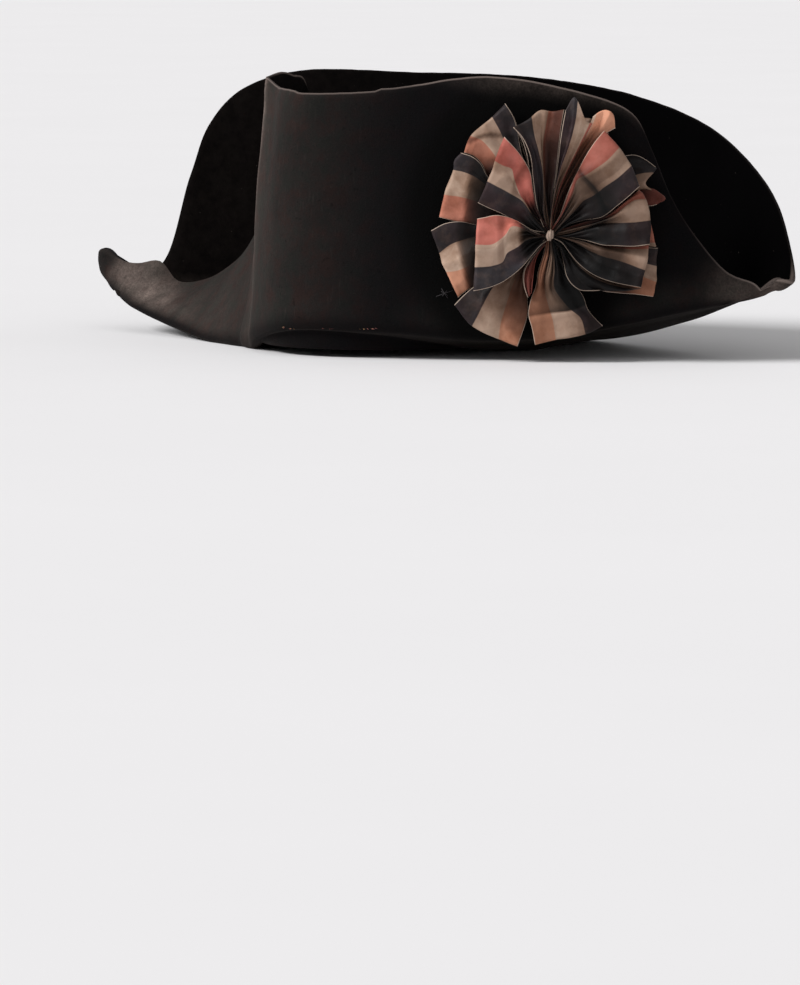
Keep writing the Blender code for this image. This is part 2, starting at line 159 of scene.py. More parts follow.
# Along the cut edge, by the turn round the hat from -142 to 218: how far it has lightened, partly as worn
# fibre and partly as a painted highlight along the edge, and how wide and how strong the band below it is,
# partly rubbed nap and partly painted light where the top edge turns up to the light.
EdgeWearAndLight = namedtuple("EdgeWearAndLight", "turn lightened band_width band")
EDGE_WEAR_AND_LIGHT = (
    EdgeWearAndLight(-141.5, 0.05, 0.004, 0.0),
    EdgeWearAndLight(-141.0, 2.0, 0.004, 0.0),
    EdgeWearAndLight(-140.6, 4.0, 0.004, 0.0),
    EdgeWearAndLight(-139.4, 3.0, 0.004, 0.0),
    EdgeWearAndLight(-138.5, 0.9, 0.004, 0.02),
    EdgeWearAndLight(-110.0, 0.85, 0.004, 0.04),
    EdgeWearAndLight(-66.0, 0.8, 0.004, 0.03),
    EdgeWearAndLight(-58.0, 0.8, 0.004, 0.02),
    EdgeWearAndLight(-52.0, 1.8, 0.004, 0.02),
    EdgeWearAndLight(-46.0, 1.6, 0.010, 0.10),
    EdgeWearAndLight(-41.0, 1.7, 0.013, 0.20),
    EdgeWearAndLight(-36.0, 2.3, 0.012, 0.20),
    EdgeWearAndLight(-31.0, 2.5, 0.010, 0.20),
    EdgeWearAndLight(-27.5, 1.8, 0.008, 0.17),
    EdgeWearAndLight(-24.0, 0.7, 0.006, 0.10),
    EdgeWearAndLight(-21.5, 0.05, 0.004, 0.0),
    EdgeWearAndLight(-13.0, 0.05, 0.004, 0.0),
    EdgeWearAndLight(-8.0, 0.4, 0.004, 0.02),
    EdgeWearAndLight(-5.6, 0.9, 0.004, 0.0),
    EdgeWearAndLight(0.5, 0.9, 0.004, 0.0),
    EdgeWearAndLight(4.0, 0.05, 0.004, 0.0),
)
# The cockade's outline as an oval in its own plane, in millimetres. A painted shadow darkens the front flap
# behind it and round it. Each pair is where that begins to run out and where it ends: beyond the oval,
# towards the near side, and away from the plane.
OVAL_MIDDLE = (-2.0, 9.0)
OVAL_RADII = (62.0, 68.0)
PAINTED_SHADOW_BEYOND = (9, 25)
PAINTED_SHADOW_ASIDE = (28, 48)
PAINTED_SHADOW_DEEP = (30, 60)
PAINTED_SHADOW_STRENGTH = 0.93

# Where the felt's look changes, in metres. Each pair is where a change begins and where it ends.
# Above the brim's fold, along the felt. Below the fold the felt is painted darker, as painted shade on the
# underside where the brim turns under.
TURNED_UP = (-0.002, 0.009)
TURNED_UP_LEAST = 0.06
# Inwards from the cut edge.
THINNING = (0.0, 0.007)
# Round the far horn's end, where the felt carries no worn nap and is darker.
NUB_CLEAR = (0.012, 0.020)
NUB_DARK = 0.65
NUB_DARK_REACH = 0.016
# Where and how far the felt is browned: partly sun-browned, partly painted light on the sides that face the
# key light, and painted light thrown up from the floor on the low felt of the near side.
FADED_AND_LIT_SIDE = (-0.060, 0.070)
NEAR_HORN = (0.150, 0.190)
NEAR_HORN_END = (0.200, 0.228)
NEAR_HORN_TOP = (0.036, 0.052)
NEAR_HORN_FADED_AND_LIT = 0.46
LOW_FELT = (0.015, 0.050)
LOW_FELT_SIDE = (0.03, 0.12)
LOW_PAINTED_LIGHT = 0.58
# The line along the crease, partly rubbed nap and partly a painted highlight: how far it is looked for, its
# width and how that grows upwards, and the wider painted glow of light beside it.
CREASE_REACH = 0.02
CREASE_LINE = 0.0010
CREASE_LINE_GROWS = 0.0016
CREASE_WORN_AND_LIT = 0.20
CREASE_WORN_AND_LIT_GROWS = 0.50
CREASE_GLOW = 0.011
CREASE_PAINTED_GLOW = 0.10
# The inner side's share of the black's own brightness: painted shade in the hollow of the hat.
INSIDE_DARK = 0.25
# Dust and painted light on the inner side: painted light in the trough of the far horn and thinly on the far
# flap, and dust on the crown's top.
TROUGH_UP = (0.030, 0.037)
TROUGH_SLOPE = 0.06
TROUGH_START = -0.2
TROUGH_ALONG = (-0.210, -0.120)
CROWN_ROUND = (0.95, 1.1)
CROWN_UP = (0.060, 0.108)
CROWN_DUST = 0.5
FAR_ALONG = (-0.190, 0.0)
FAR_PAINTED_LIGHT = 0.30
# The pinched ends of the horns: how thick the felt is there, and how far that reaches.
NUB_THICK = 0.70
NUB_THICK_REACH = 0.0125
LIP_THICK = 0.275
LIP_THICK_REACH = 0.0085

# Where the cockade sits: its middle on the flap, the way out of the felt, and the gather in its own plane.
SEAT_PLACE = (0.130149, -0.058573, 0.067800)
SEAT_OUT = (0.533293, -0.845209, 0.034947)
GATHER_X = 0.5
GATHER_Y = 2.8

# The loops of ribbon, in millimetres in the plane of the cockade. Lift_a, lift_m and lift_b are how far the
# outer fold stands off the felt at its first edge, middle and last edge, and base is that of its inner end.
# Puff rounds the loop, fold is the radius of its outer fold, fade turns salmon to tan, and a gape opens one
# side. Painted shades are the painted light and shade on its dark, cream and salmon stripes, and shade along
# the painted light and shade along the loop at shares of its length outwards from the knot, with a step
# where
# it is creased across: painted shadow where other loops lie over it and shade where it turns from the light.
# Depths are how strongly these mark each stripe, and slant is how far they run askew.
# A line runs inwards from the outer fold: first its place across the ribbon, 0 at the dark edge and 1
# at the salmon one, then x and y of each of its points.
Petal = namedtuple(
    "Petal",
    "place lift_a lift_m lift_b base puff fold tones bands lines fade gape_a gape_b depths slant",
    defaults=(0, 0, 0, (1, 1, 1), 0),
)
BACK_PETALS = (
    Petal(
        "top",
        lift_a=3, lift_m=3, lift_b=3, base=1.2, puff=1, fold=0.8, fade=0.5,
        tones=(0.5, 0.4, 0.3),
        bands=((0, 0.3), (0.8, 0.6), (1, 1)),
        lines=(
            (0.0, 9, 69.1, 7.6, 54.5, 3.1, 33.6),
            (0.333, 18.4, 67.7, 14.9, 54.5, 6.6, 33.6),
            (0.667, 26.7, 64.9, 20.5, 52.4, 9.4, 32.2),
            (1.0, 32.3, 58.7, 25.4, 47.5, 12.2, 29.4),
        ),
    ),
    Petal(
        "upper right",
        lift_a=7, lift_m=7, lift_b=6, base=2, puff=1.5, fold=0.9, fade=0.1, gape_a=1.5, gape_b=1,
        tones=(0.3, 0.5, 0.22),
        bands=((0, 0.05), (0.7, 0.1), (0.84, 0.5), (0.92, 1)),
        lines=(
            (0.0, 58.8, 40.7, 53.5, 44.7, 48.3, 47.2, 43.1, 47.2, 34.4, 40.6, 20.6, 26.7, 8.8, 12.7),
            (0.333, 57.5, 37.7, 51.8, 37.2, 44.9, 35.1, 34.5, 28.8, 20.6, 19.7, 8.8, 10),
            (0.5, 52.7, 31.3, 49.1, 30.2, 42.1, 26.7, 31, 20.4, 17.1, 12.8, 8.1, 7.9),
            (0.72, 63.5, 24.6, 57.4, 28.5, 50.4, 28.8, 40.7, 23.2, 27.5, 15.6, 8.8, 7.2),
            (1.0, 59.1, 19.8, 56, 19, 50.5, 19.8, 40.7, 16.3, 27.6, 12.1, 10.2, 6.5),
        ),
    ),
    Petal(
        "right sliver",
        lift_a=9, lift_m=9, lift_b=9, base=3, puff=1, fold=0.8, fade=0.4,
        tones=(0.4, 0.5, 0.5),
        bands=((0, 0.2), (0.85, 0.5), (1, 1)),
        lines=(
            (1.0, 55.8, 9.8, 48.4, 9.1, 31.1, 6.3, 10.2, 2.4),
            (0.6, 59.1, -3.4, 51.9, -3, 38, -1.7, 10.2, 1.4),
        ),
    ),
    Petal(
        "lower right",
        lift_a=7, lift_m=6.5, lift_b=7, base=2, puff=1.5, fold=1, fade=0.9, gape_b=1,
        tones=(0.5, 0.6, 0.65),
        bands=((0, 0.1), (0.8, 0.2), (0.88, 0.7), (0.93, 1)),
        lines=(
            (0.0, 59.7, -4.2, 51.9, -3.8, 38, -2.8, 20.6, -0.7),
            (0.333, 59.6, -14.4, 51.9, -12.5, 38, -8.3, 20.6, -2.8),
            (0.667, 59, -22.9, 50.5, -19.4, 38, -13.9, 20.6, -4.9),
            (1.0, 57.7, -31.2, 48.5, -30, 38.1, -29.3, 28.3, -27.7, 19.3, -19.5, 10.2, -4.2),
        ),
    ),
    Petal(
        "lower left",
        lift_a=6, lift_m=6.5, lift_b=5.5, base=2, puff=3, fold=1.2, fade=0.85, gape_b=0.5,
        tones=(0.65, 1.25, 1.1), depths=(0.6, 1, 1.2), slant=-0.12,
        bands=((0, 0.015), (0.73, 0.02), (0.79, 0.05), (0.82, 0.12), (0.84, 0.3), (0.86, 0.9),
            (0.87, 1)),
        lines=(
            (0.0, -65.4, 5.4, -58.1, 9.1, -49.7, 10.2, -40, 8.1, -27.4, 6.1, -12.1, 2),
            (0.333, -61.2, -7.6, -55.3, -3, -48.3, -0.2, -40, 1.9, -27.4, 2.6, -12.1, 0.9),
            (0.667, -56.8, -18, -50.4, -17, -44.1, -14.2, -35.8, -9.3, -24.6, -3.7, -11.4, -0.1),
            (1.0, -50.7, -32.1, -46.2, -28.4, -41.3, -25.3, -33, -18.3, -21.8, -9.2, -10, -1.5),
        ),
    ),
    Petal(
        "upper left",
        lift_a=6.5, lift_m=7, lift_b=6, base=2.4, puff=3, fold=1.6, fade=0.6, gape_a=3,
        tones=(0.6, 0.85, 1.05), depths=(0.8, 1, 1), slant=-0.35,
        bands=((0, 0.03), (0.6, 0.05), (0.68, 0.3), (0.77, 0.9), (0.88, 0.95), (0.905, 0.35),
            (0.93, 0.3), (0.95, 0.85), (1, 1)),
        lines=(
            (0.0, -24.4, 75.3, -20.5, 69, -18.1, 62.1, -16.3, 51.6, -12.8, 39.1, -8.6, 25.9, -4.4, 12.7),
            (0.333, -32, 68.1, -28.5, 62.1, -25.4, 55.8, -20.5, 46.1, -14.9, 33.6, -9.3, 21, -4.4, 11.3),
            (0.667, -43.6, 57.5, -38.6, 55.8, -33.4, 50.9,
             -27.5, 42.6, -20.5, 31.5, -13.5, 20.3, -5.8, 9.9),
            (1.0, -47.7, 48.5, -42.4, 46.7, -37.9, 42.6,
             -34.1, 34.2, -27.4, 25.9, -17.7, 16.2, -7.2, 7.8),
        ),
    ),
    Petal(
        "left",
        lift_a=9, lift_m=8.5, lift_b=7.5, base=3, puff=3.5, fold=1.8, fade=0.5, gape_a=1.5, gape_b=0.5,
        tones=(0.9, 1.0, 1.15), depths=(0.6, 1, 1), slant=0.12,
        bands=((0, 0.015), (0.72, 0.015), (0.78, 0.05), (0.82, 0.10), (0.85, 0.2), (0.865, 0.65),
            (0.89, 1)),
        lines=(
            (0.0, -48.3, 48.1, -43.1, 46.4, -38.6, 42.9, -35.2, 36.7, -29.5, 29.4, -19, 17.6, -7.9, 7.1),
            (0.15, -52.4, 44.3, -46.2, 43.2, -40, 39.1,
             -34.7, 32.8, -28.1, 26.2, -17.6, 16.2, -7.5, 6.8),
            (0.333, -53.5, 38.7, -48.3, 37.7, -41.3, 34.8,
             -35.4, 30.7, -27.4, 23.1, -16.9, 14.1, -7.2, 6.5),
            (0.667, -57.8, 25, -49.7, 23.9, -41.3, 21.7, -31.6, 17.5, -20.4, 11.3, -7.9, 5.1),
            (1.0, -61.6, 12.6, -52.4, 10.2, -42, 6.4, -30.1, 3.6, -19, 2.3, -7.9, 2.3),
        ),
    ),
    Petal(
        "low",
        lift_a=7, lift_m=8, lift_b=8, base=3.4, puff=3, fold=1.2, fade=0.9, gape_a=0.5, gape_b=0.5,
        tones=(0.45, 0.9, 0.95), depths=(0.6, 0.8, 1.3), slant=-0.3,
        bands=((0, 0.06), (0.5, 0.2), (0.7, 0.35), (0.8, 0.5), (0.86, 0.9), (0.9, 1)),
        lines=(
            (0.0, -52.7, -36.1, -47.5, -30.8, -39.8, -24.5, -30.1, -17.5, -19, -9.9, -9.3, -4.3),
            (0.333, -42.4, -47.5, -38.4, -39.8, -35, -32.9,
             -31.8, -27.3, -27.3, -20.3, -19, -11.9, -8.6, -5),
            (0.667, -27.9, -55.1, -26.9, -46.8, -24.8, -39.1,
             -22.6, -32.1, -20.3, -25.2, -16.2, -16.1, -7.9, -6.3),
            (1.0, -17.2, -58.4, -14, -49.5, -11.8, -41.1,
             -12, -32.1, -12.6, -25.1, -10.6, -16.1, -6.5, -7.7),
        ),
    ),
    Petal(
        "bottom",
        lift_a=11, lift_m=11, lift_b=10, base=9, puff=2.5, fold=1.3, fade=0.95, gape_a=0.5, gape_b=1.5,
        tones=(0.4, 0.85, 0.8), depths=(2, 1.2, 0.5),
        bands=((0, 0.08), (0.16, 0.12), (0.2, 0.4), (0.36, 0.5), (0.5, 0.32), (0.68, 0.3),
            (0.75, 0.14), (0.77, 1.1), (0.82, 0.8), (1, 1)),
        lines=(
            (1.0, -7.7, -57.7, -9.6, -48, -11.3, -41.7,
             -10.2, -33.4, -7.4, -25.7, -6, -16.7, -2.9, -6.3),
            (0.667, 3.8, -55.2, 1.9, -43.8, -0.6, -35.4,
             -2.3, -27.8, -2.3, -20.9, -0.8, -13.9, 0.6, -6.3),
            (0.333, 20.2, -51.7, 17.3, -42.7, 11.7, -38.2, 6.9, -32.6, 3, -26.4, 3, -16.7, 2.6, -6.9),
            (0.0, 29.9, -47.5, 25.6, -43.4, 21.8, -38.9,
             19.4, -31.9, 13.1, -22.2, 7.5, -12.5, 3.7, -4.2),
        ),
    ),
)
FRONT_PETALS = (
    Petal(
        "bowl",
        lift_a=15, lift_m=14, lift_b=14, base=7.2, puff=1.5, fold=1.6, fade=0.2, gape_b=2.5,
        tones=(0.1, 0.15, 0.2),
        bands=((0, 0.6), (1, 1)),
        lines=(
            (0.38, 51, -26.7, 45.1, -25.8, 36.7, -24.1, 27, -21, 20.1, -16.5, 13.8, -10.3, 8.3, -2.7),
            (0.2, 39.5, -28, 31.2, -26.9, 22.9, -23.4, 15.9, -17.2, 11.1, -10.3, 6.9, -2.7),
            (0.0, 28.4, -27.6, 22.9, -27.8, 17.3, -27.5, 12.8, -24.5, 9.8, -20, 8.2, -13.1, 5.8, -4.8),
        ),
    ),
    Petal(
        "lower right",
        lift_a=16, lift_m=17, lift_b=18, base=7.6, puff=2, fold=1.2, fade=0.3, gape_b=1,
        tones=(0.13, 0.75, 0.4), depths=(0.5, 1, 1),
        bands=((0, 0.10), (0.3, 0.2), (0.38, 0.32), (0.6, 0.2), (0.76, 0.25), (0.84, 0.8), (0.9, 1)),
        lines=(
            (0.72, 55.2, -2.5, 47.1, -3.4, 38.1, -3.3, 29.8, -2.9, 20.8, -0.7, 10.4, 1.4),
            (0.333, 53.2, -16.2, 45, -13.1, 38.1, -10.8, 30.5, -8.8, 22.9, -5.7, 16.6, -2.3, 9.7, 0.5),
            (0.0, 50.6, -25.8, 40.9, -24.2, 34, -22.6, 27, -20.1,
             20.8, -16.5, 15.2, -11.6, 10.4, -5.4, 6.9, -0.9),
        ),
    ),
    Petal(
        "orange",
        lift_a=15, lift_m=15, lift_b=14, base=7.4, puff=1, fold=0.8, fade=0.85,
        tones=(0.8, 1.1, 1.6),
        bands=((0, 0.08), (0.62, 0.12), (0.76, 0.3), (0.84, 0.6), (0.9, 1)),
        lines=(
            (0.62, 24.1, 68.1, 21, 61.5, 17.2, 54.5, 13.4, 47.6, 9.6, 39.2, 5.5, 28.1),
            (0.7, 27.6, 70.8, 24.6, 63.2, 19.8, 55.3, 15.1, 47.6, 10.5, 38.6, 5.8, 27.5),
            (0.8, 31.4, 71.9, 28.3, 64.2, 22.7, 55.9, 17.2, 47.6, 11.7, 37.9, 6.2, 26.8),
            (0.9, 35.2, 69.0, 30.6, 62.5, 23.6, 54.6, 18, 46.2, 12.5, 36.6, 6.6, 25.4),
            (1.0, 36.2, 62.0, 31, 59, 24.1, 52.8, 18.6, 44.5, 13.1, 35.1, 6.9, 24),
        ),
    ),
    Petal(
        "small",
        lift_a=14, lift_m=14.5, lift_b=14, base=7.4, puff=1, fold=1, gape_a=1,
        tones=(0.4, 0.4, 0.25),
        bands=((0, 0.3), (0.6, 1)),
        lines=(
            (1.0, -11.7, -31.5, -13.4, -26.3, -14, -20.8, -13.2, -15.9, -9.8, -10.4, -4.9, -4.1),
            (0.68, -9.7, -29.1, -8.9, -22.2, -8.2, -15.2, -7, -9.7, -3.9, -4.4),
        ),
    ),
    Petal(
        "left",
        lift_a=17, lift_m=17, lift_b=14, base=7.8, puff=3, fold=1.8, fade=0.1, gape_a=3, gape_b=0.5,
        tones=(0.85, 0.72, 1.2), depths=(0.6, 1, 1),
        bands=((0, 0.10), (0.2, 0.03), (0.34, 0.03), (0.38, 0.3), (0.42, 1.2), (0.55, 1.5),
            (0.64, 1.35), (0.665, 0.8), (0.74, 0.75), (0.77, 1.05), (1, 1)),
        lines=(
            (1.0, -40, 11.9, -35.5, 12.8, -29.9, 13.9, -24.3, 13.2, -17.4, 10.5, -9.1, 5.6),
            (0.667, -40.3, -2.4, -30.9, -1.9, -26.8, 0.7, -23.8, 3.5, -20.9, 7.5, -13.2, 6.3, -6.3, 2.9),
            (0.333, -41, -14.9, -31.2, -14, -25.7, -11.9, -23.3, -7.2, -18.1, -4, -11.1, 0.8, -5.6, 1.8),
            (0.0, -41.1, -28.1, -34, -26.5, -27.1, -23.9,
             -20.1, -19.4, -14.6, -14.5, -9, -7.9, -4.5, -2.7),
        ),
    ),
    Petal(
        "right",
        lift_a=19, lift_m=19, lift_b=20, base=8, puff=2.5, fold=1.5, fade=0.3, gape_b=0.5,
        tones=(0.36, 0.6, 0.55), depths=(0.4, 1, 1),
        bands=((0, 0.25), (0.2, 0.2), (0.32, 0.28), (0.45, 0.05), (0.58, 0.07), (0.66, 0.3),
            (0.72, 0.62), (0.82, 1)),
        lines=(
            (1.0, 49.7, 27.9, 46.4, 24.8, 40.8, 20.6, 31.2, 14, 18.7, 10.2, 9.7, 7),
            (0.667, 52.9, 23.1, 47.8, 22.6, 42.9, 19.6, 36.7, 14.4, 28.4, 10.5, 19.4, 8.1, 10.4, 6),
            (0.333, 56.1, 11.4, 47.8, 10.3, 38.1, 9.8, 28.4, 9.1, 18.7, 5.7, 9, 2.8),
            (0.0, 55.1, -2.1, 47.1, -3.1, 38.1, -2.9, 29.8, -2.5, 20.8, -0.1, 10.4, 1.7),
        ),
    ),
    Petal(
        "top",
        lift_a=21, lift_m=15, lift_b=20, base=8.4, puff=1.5, fold=1.2, fade=0.45, gape_a=3.5,
        tones=(0.85, 0.75, 0.18), depths=(0, 0.3, 1),
        bands=((0, 0.15), (0.5, 0.15), (0.75, 0.3), (0.9, 0.8), (1, 1)),
        lines=(
            (0.0, -19.8, 62.4, -15, 57.2, -10.8, 48.2, -8.9, 33.7, -6.6, 17.8),
            (0.333, -9.6, 67.9, -8.4, 59.3, -6, 49.6, -4.1, 40.6, -3.1, 26.8, -2.8, 14.3),
            (0.45, -6, 71.1, -5.5, 61.4, -4.2, 50.3, -3.5, 37.9, -2.2, 24.7, -1.9, 12.9),
            (0.667, -0.5, 71.3, -1.8, 64.2, -3.4, 54.5, -3.4, 40.6, -2.1, 23.3),
            (1.0, 8.2, 71.5, 6.7, 62.8, 5.3, 51, 3.8, 37.2, 1.7, 23.3),
        ),
    ),
    Petal(
        "spike",
        lift_a=24, lift_m=22, lift_b=17, base=8.6, puff=1.5, fold=1.2, fade=0.2,
        tones=(0.9, 1.4, 0.9), depths=(0.1, 1, 1),
        bands=((0, 0.6), (0.15, 0.25), (0.5, 0.25), (0.65, 0.45), (0.8, 0.75), (1, 1)),
        lines=(
            (0.0, 9.2, 71.8, 7.7, 64.2, 6.1, 54.5, 5, 44.8, 3.8, 35.1, 2.1, 22.7, 0.4, 12.3),
            (0.15, 12.8, 78.1, 11.9, 68.4, 10.4, 58, 8.2, 49, 5.7, 39.3, 3.2, 26.8, 0.8, 14.4),
            (0.333, 15.7, 76.5, 14.9, 68.4, 12.8, 58.7, 9.7, 49, 6.6, 40.7, 4.3, 31.7, 1.5, 16.4),
            (0.55, 20.4, 66, 18, 59.4, 14.9, 52.1, 11.1, 44.1, 7, 35.1, 3.9, 25.4, 1.1, 13),
            (0.75, 23.5, 64.1, 19.4, 56.6, 15.2, 48.3, 11.1, 40, 7, 31, 4.2, 22, 1.5, 12.3),
        ),
    ),
    Petal(
        "upper left",
        lift_a=22, lift_m=20, lift_b=17, base=8.8, puff=3, fold=1.5, gape_a=1.5, gape_b=1,
        tones=(0.72, 0.75, 0.86), depths=(0.7, 1.1, 1),
        bands=((0, 0.12), (0.2, 0.05), (0.3, 0.04), (0.36, 0.2), (0.42, 0.75), (0.5, 0.9),
            (0.58, 1.15), (0.66, 0.7), (0.70, 0.66), (0.74, 1.1), (1, 1)),
        lines=(
            (1.0, -24.3, 56.9, -17, 48.9, -10.5, 37.9, -8.9, 27.5, -5.9, 15.7),
            (0.667, -29.8, 44, -25.1, 41.4, -20.8, 39.8, -19.3, 34.4, -15.2, 23.3, -8.3, 12.9),
            (0.333, -33.6, 32.6, -27, 29.2, -20.8, 25.7, -15.4, 22.3, -8.3, 12.1),
            (0.0, -39.6, 20.8, -33.9, 18, -27, 15.1, -17.3, 9.4, -9, 4.9),
        ),
    ),
    Petal(
        "upper right",
        lift_a=23, lift_m=24, lift_b=22, base=9, puff=3, fold=1.6, fade=0.15, gape_a=0.5, gape_b=0.5,
        tones=(0.6, 0.74, 0.8), depths=(1.4, 1, 0.5),
        bands=((0, 0.3), (0.16, 0.12), (0.36, 0.3), (0.52, 0.34), (0.575, 0.28), (0.61, 0.04),
            (0.63, 0.05), (0.655, 0.4), (0.72, 0.62), (0.8, 0.85), (0.86, 1)),
        lines=(
            (1.0, 30.4, 60.8, 25.6, 54.9, 20.8, 47.6, 16.3, 39, 12.5, 31, 9.4, 23.4, 5.3, 12.3),
            (0.667, 38.4, 51.1, 31.8, 44.2, 25.6, 39.7, 20.1, 36.2, 16.4, 34.5, 13.2, 26.8, 7, 13.7),
            (0.333, 45.3, 41.4, 38.1, 34.9, 31.2, 30.2, 24.3, 24.9, 19.4, 22.4, 14.6, 17.2, 7.7, 9.5),
            (0.0, 49.6, 29.6, 44.3, 24.7, 38.1, 19.6, 29.1, 13, 18.8, 11.3, 9.8, 8.1),
        ),
    ),
)
# Where ends of thread are left: along the front's turn-up, and crossed beside the cockade.
THREAD_ROW = ((-0.0140, -0.1143, 0.0164), (0.0130, -0.1134, 0.0176), (0.0450, -0.1068, 0.0181))
THREAD_CROSS = (0.0812, -0.0906, 0.0378)
# The threads in the row: how many, the seed they are drawn from, the ranges of their lengths in millimetres
# and of their turns in radians, and every thread's radii at its two ends in metres.
THREADS = 120
THREAD_SEED = 5
THREAD_LENGTHS = (0.5, 1.5)
THREAD_TURNS = (-0.9, 0.9)
THREAD_RADII = (0.00016, 0.00010)
# The crossed threads: the turn of each in radians and its length in millimetres. They have the last colour.
CROSSED = ((0.35, 10.0), (-1.0, 6.5), (-0.55, 4.5), (0.9, 4.0))
THREAD_COLOURS = (
    ("red_thread", (0.30, 0.10, 0.085)),
    ("gold_thread", (0.38, 0.22, 0.11)),
    ("dark_red_thread", (0.20, 0.065, 0.06)),
    ("grey_thread", (0.030, 0.026, 0.028)),
)
# Past this place along the hat a thread lies on the cockade's stretch of the flap.
SEAT_START = 0.07
FRONT_OUT = (0.12, -1.0, 0.0)
# The knot's half sizes, its height above the plane of the seat, in millimetres, and its turn in radians.
KNOT_RADII = (2.1, 3.2, 2.8)
KNOT_LIFT = 12.6
KNOT_TURN = -0.25
# Its wraps: how far they swell it, how many radians they run through across it, and how far they slant.
WRAP_SWELL = 0.09
WRAP_RUN = 9.0
WRAP_SLANT = 0.35

# The camera's lens and film width in millimetres, the point that it turns round, and how far it is tipped
# down and turned aside from that point, in degrees.
LENS = 202.3
FILM_WIDTH = 36.0
CAMERA_TARGET = (0, -0.0102, 0.1)
CAMERA_DOWN = 3.303
CAMERA_ASIDE = 0.083
# How far the camera sees, and the floor's radius, in metres.
FARTHEST = 200.0
FLOOR_RADIUS = 45.0
# Where each light comes from, and how widely it is spread, in degrees.
KEY_FROM, KEY_SPREAD = (-0.53, -0.66, 0.62), 24
FILL_FROM, FILL_SPREAD = (0.85, -0.35, 0.55), 70

# How finely a loop is divided: across it, along its upper side, round its outer fold, and how many stations
# of the upper side make one of the under side.
ACROSS = 52
TOP_STATIONS = 40
FOLD_STATIONS = 8
UNDER_STRIDE = 2
# The distance to the cut edge is written in hundredths of a metre.
EDGE_SCALE = 0.01
# The ribbon's width in millimetres.
RIBBON_WIDTH = 42.0
# Fine gathers to each soft pleat, and the shares of a loop's length between which they run out, on its
# upper and its under side.
GATHERS = 2
GATHERED = (0.2, 0.6)
GATHERED_UNDER = (0.8, 0.97)
# The least height of a loop's under side above the plane of the seat, in millimetres.
LEAST_LIFT = 0.45
# The ribbon is a plain strip of full width all along.
# Each loop draws its pleats and creases from a seed of its own, counted from these.
BACK_SEED = 11
FRONT_SEED = 41
# A millimetre in metres.
MILLI = 0.001


def length_setting(name, description, default):
    return bpy.props.FloatProperty(name=name, description=description, default=default, unit="LENGTH")


def colour_setting(name, description, default):
    return bpy.props.FloatVectorProperty(
        name=name, description=description, default=default, size=3, subtype="COLOR"
    )


class BicorneFelt(bpy.types.PropertyGroup):
    """The sizes of the felt."""

    thickness: length_setting("Thickness", "Thickness of the felt", 0.0026)
    opening_width: length_setting("Opening width", "Head opening, ear to ear", 0.154)
    opening_length: length_setting("Opening length", "Head opening, front to back", 0.194)
    crown_height: length_setting("Crown height", "Height of the crown's shoulder", 0.108)
    crown_dome: length_setting("Crown dome", "Rise of the crown's top above its shoulder", 0.005)
    crown_taper: bpy.props.FloatProperty(
        name="Crown taper", description="How far the crown draws in, as a share",
        default=0.13, subtype="FACTOR",
    )
    crown_shoulder: length_setting("Crown shoulder", "Rounding of the crown's top", 0.034)
    half_span: length_setting("Half span", "From the middle to the tip of a horn", 0.247)
    flap_height: length_setting("Flap height", "Height of the turned-up brim", 0.156)
    rim_round: length_setting("Rim rounding", "Rounding where the crown meets the brim", 0.003)
    fold_round: length_setting("Fold rounding", "Rounding where the brim turns up", 0.024)
    thickest: length_setting("Thickest", "Thickness of the pinched end of the far horn", 0.0065)
    thinnest: length_setting("Thinnest", "Thickness of the worn edge", 0.0012)
    ripple: length_setting("Ripple", "Depth of the felt's soft dents", 0.0011)
    ragged: length_setting("Ragged edge", "Depth of the nicks in the cut edge", 0.0007)


class BicorneFeltColours(bpy.types.PropertyGroup):
    """The colours of the felt."""

    # Also the colour of the painted light on felt that faces the key light.
    faded_and_lit: colour_setting("Faded", "Felt that the light has browned", (0.0200, 0.0158, 0.0142))
    black: colour_setting("Black", "Felt that has kept its colour", (0.0021, 0.0016, 0.0020))
    # Also the colour of painted light: below the edge, along the crease and on the inner side.
    worn: colour_setting("Worn", "Worn nap", (0.190, 0.147, 0.128))
    # Also the colour of the painted highlight along the cut edge.
    edge: colour_setting("Cut edge", "The felt's cut edge", (0.150, 0.118, 0.105))
    dust: colour_setting("Dust", "Specks of dust", (0.20, 0.17, 0.15))


class BicorneRibbon(bpy.types.PropertyGroup):
    """The sizes and colours of the cockade's ribbon."""

    thickness: length_setting("Thickness", "Thickness of the ribbon", 0.00035)
    gather: length_setting("Gather", "Width of a loop at the knot", 0.0036)
    pleat_depth: length_setting("Pleat depth", "Depth of the pleats near the knot", 0.0020)
    crease: length_setting("Crease", "Depth of the creases along each loop", 0.0032)
    crumple: length_setting("Crumple", "Depth of the ribbon's soft wrinkles", 0.0010)
    dark: colour_setting("Dark", "Dark stripe", (0.0290, 0.0250, 0.0285))
    brown: colour_setting("Brown", "Dark stripe where it has browned", (0.039, 0.0235, 0.0270))
    cream: colour_setting("Cream", "Cream stripe", (0.44, 0.315, 0.240))
    salmon: colour_setting("Salmon", "Salmon stripe", (0.46, 0.130, 0.104))
    tan: colour_setting("Tan", "Faded salmon stripe", (0.45, 0.225, 0.138))
    selvage: colour_setting("Selvage", "Light line along the edges", (0.52, 0.40, 0.32))


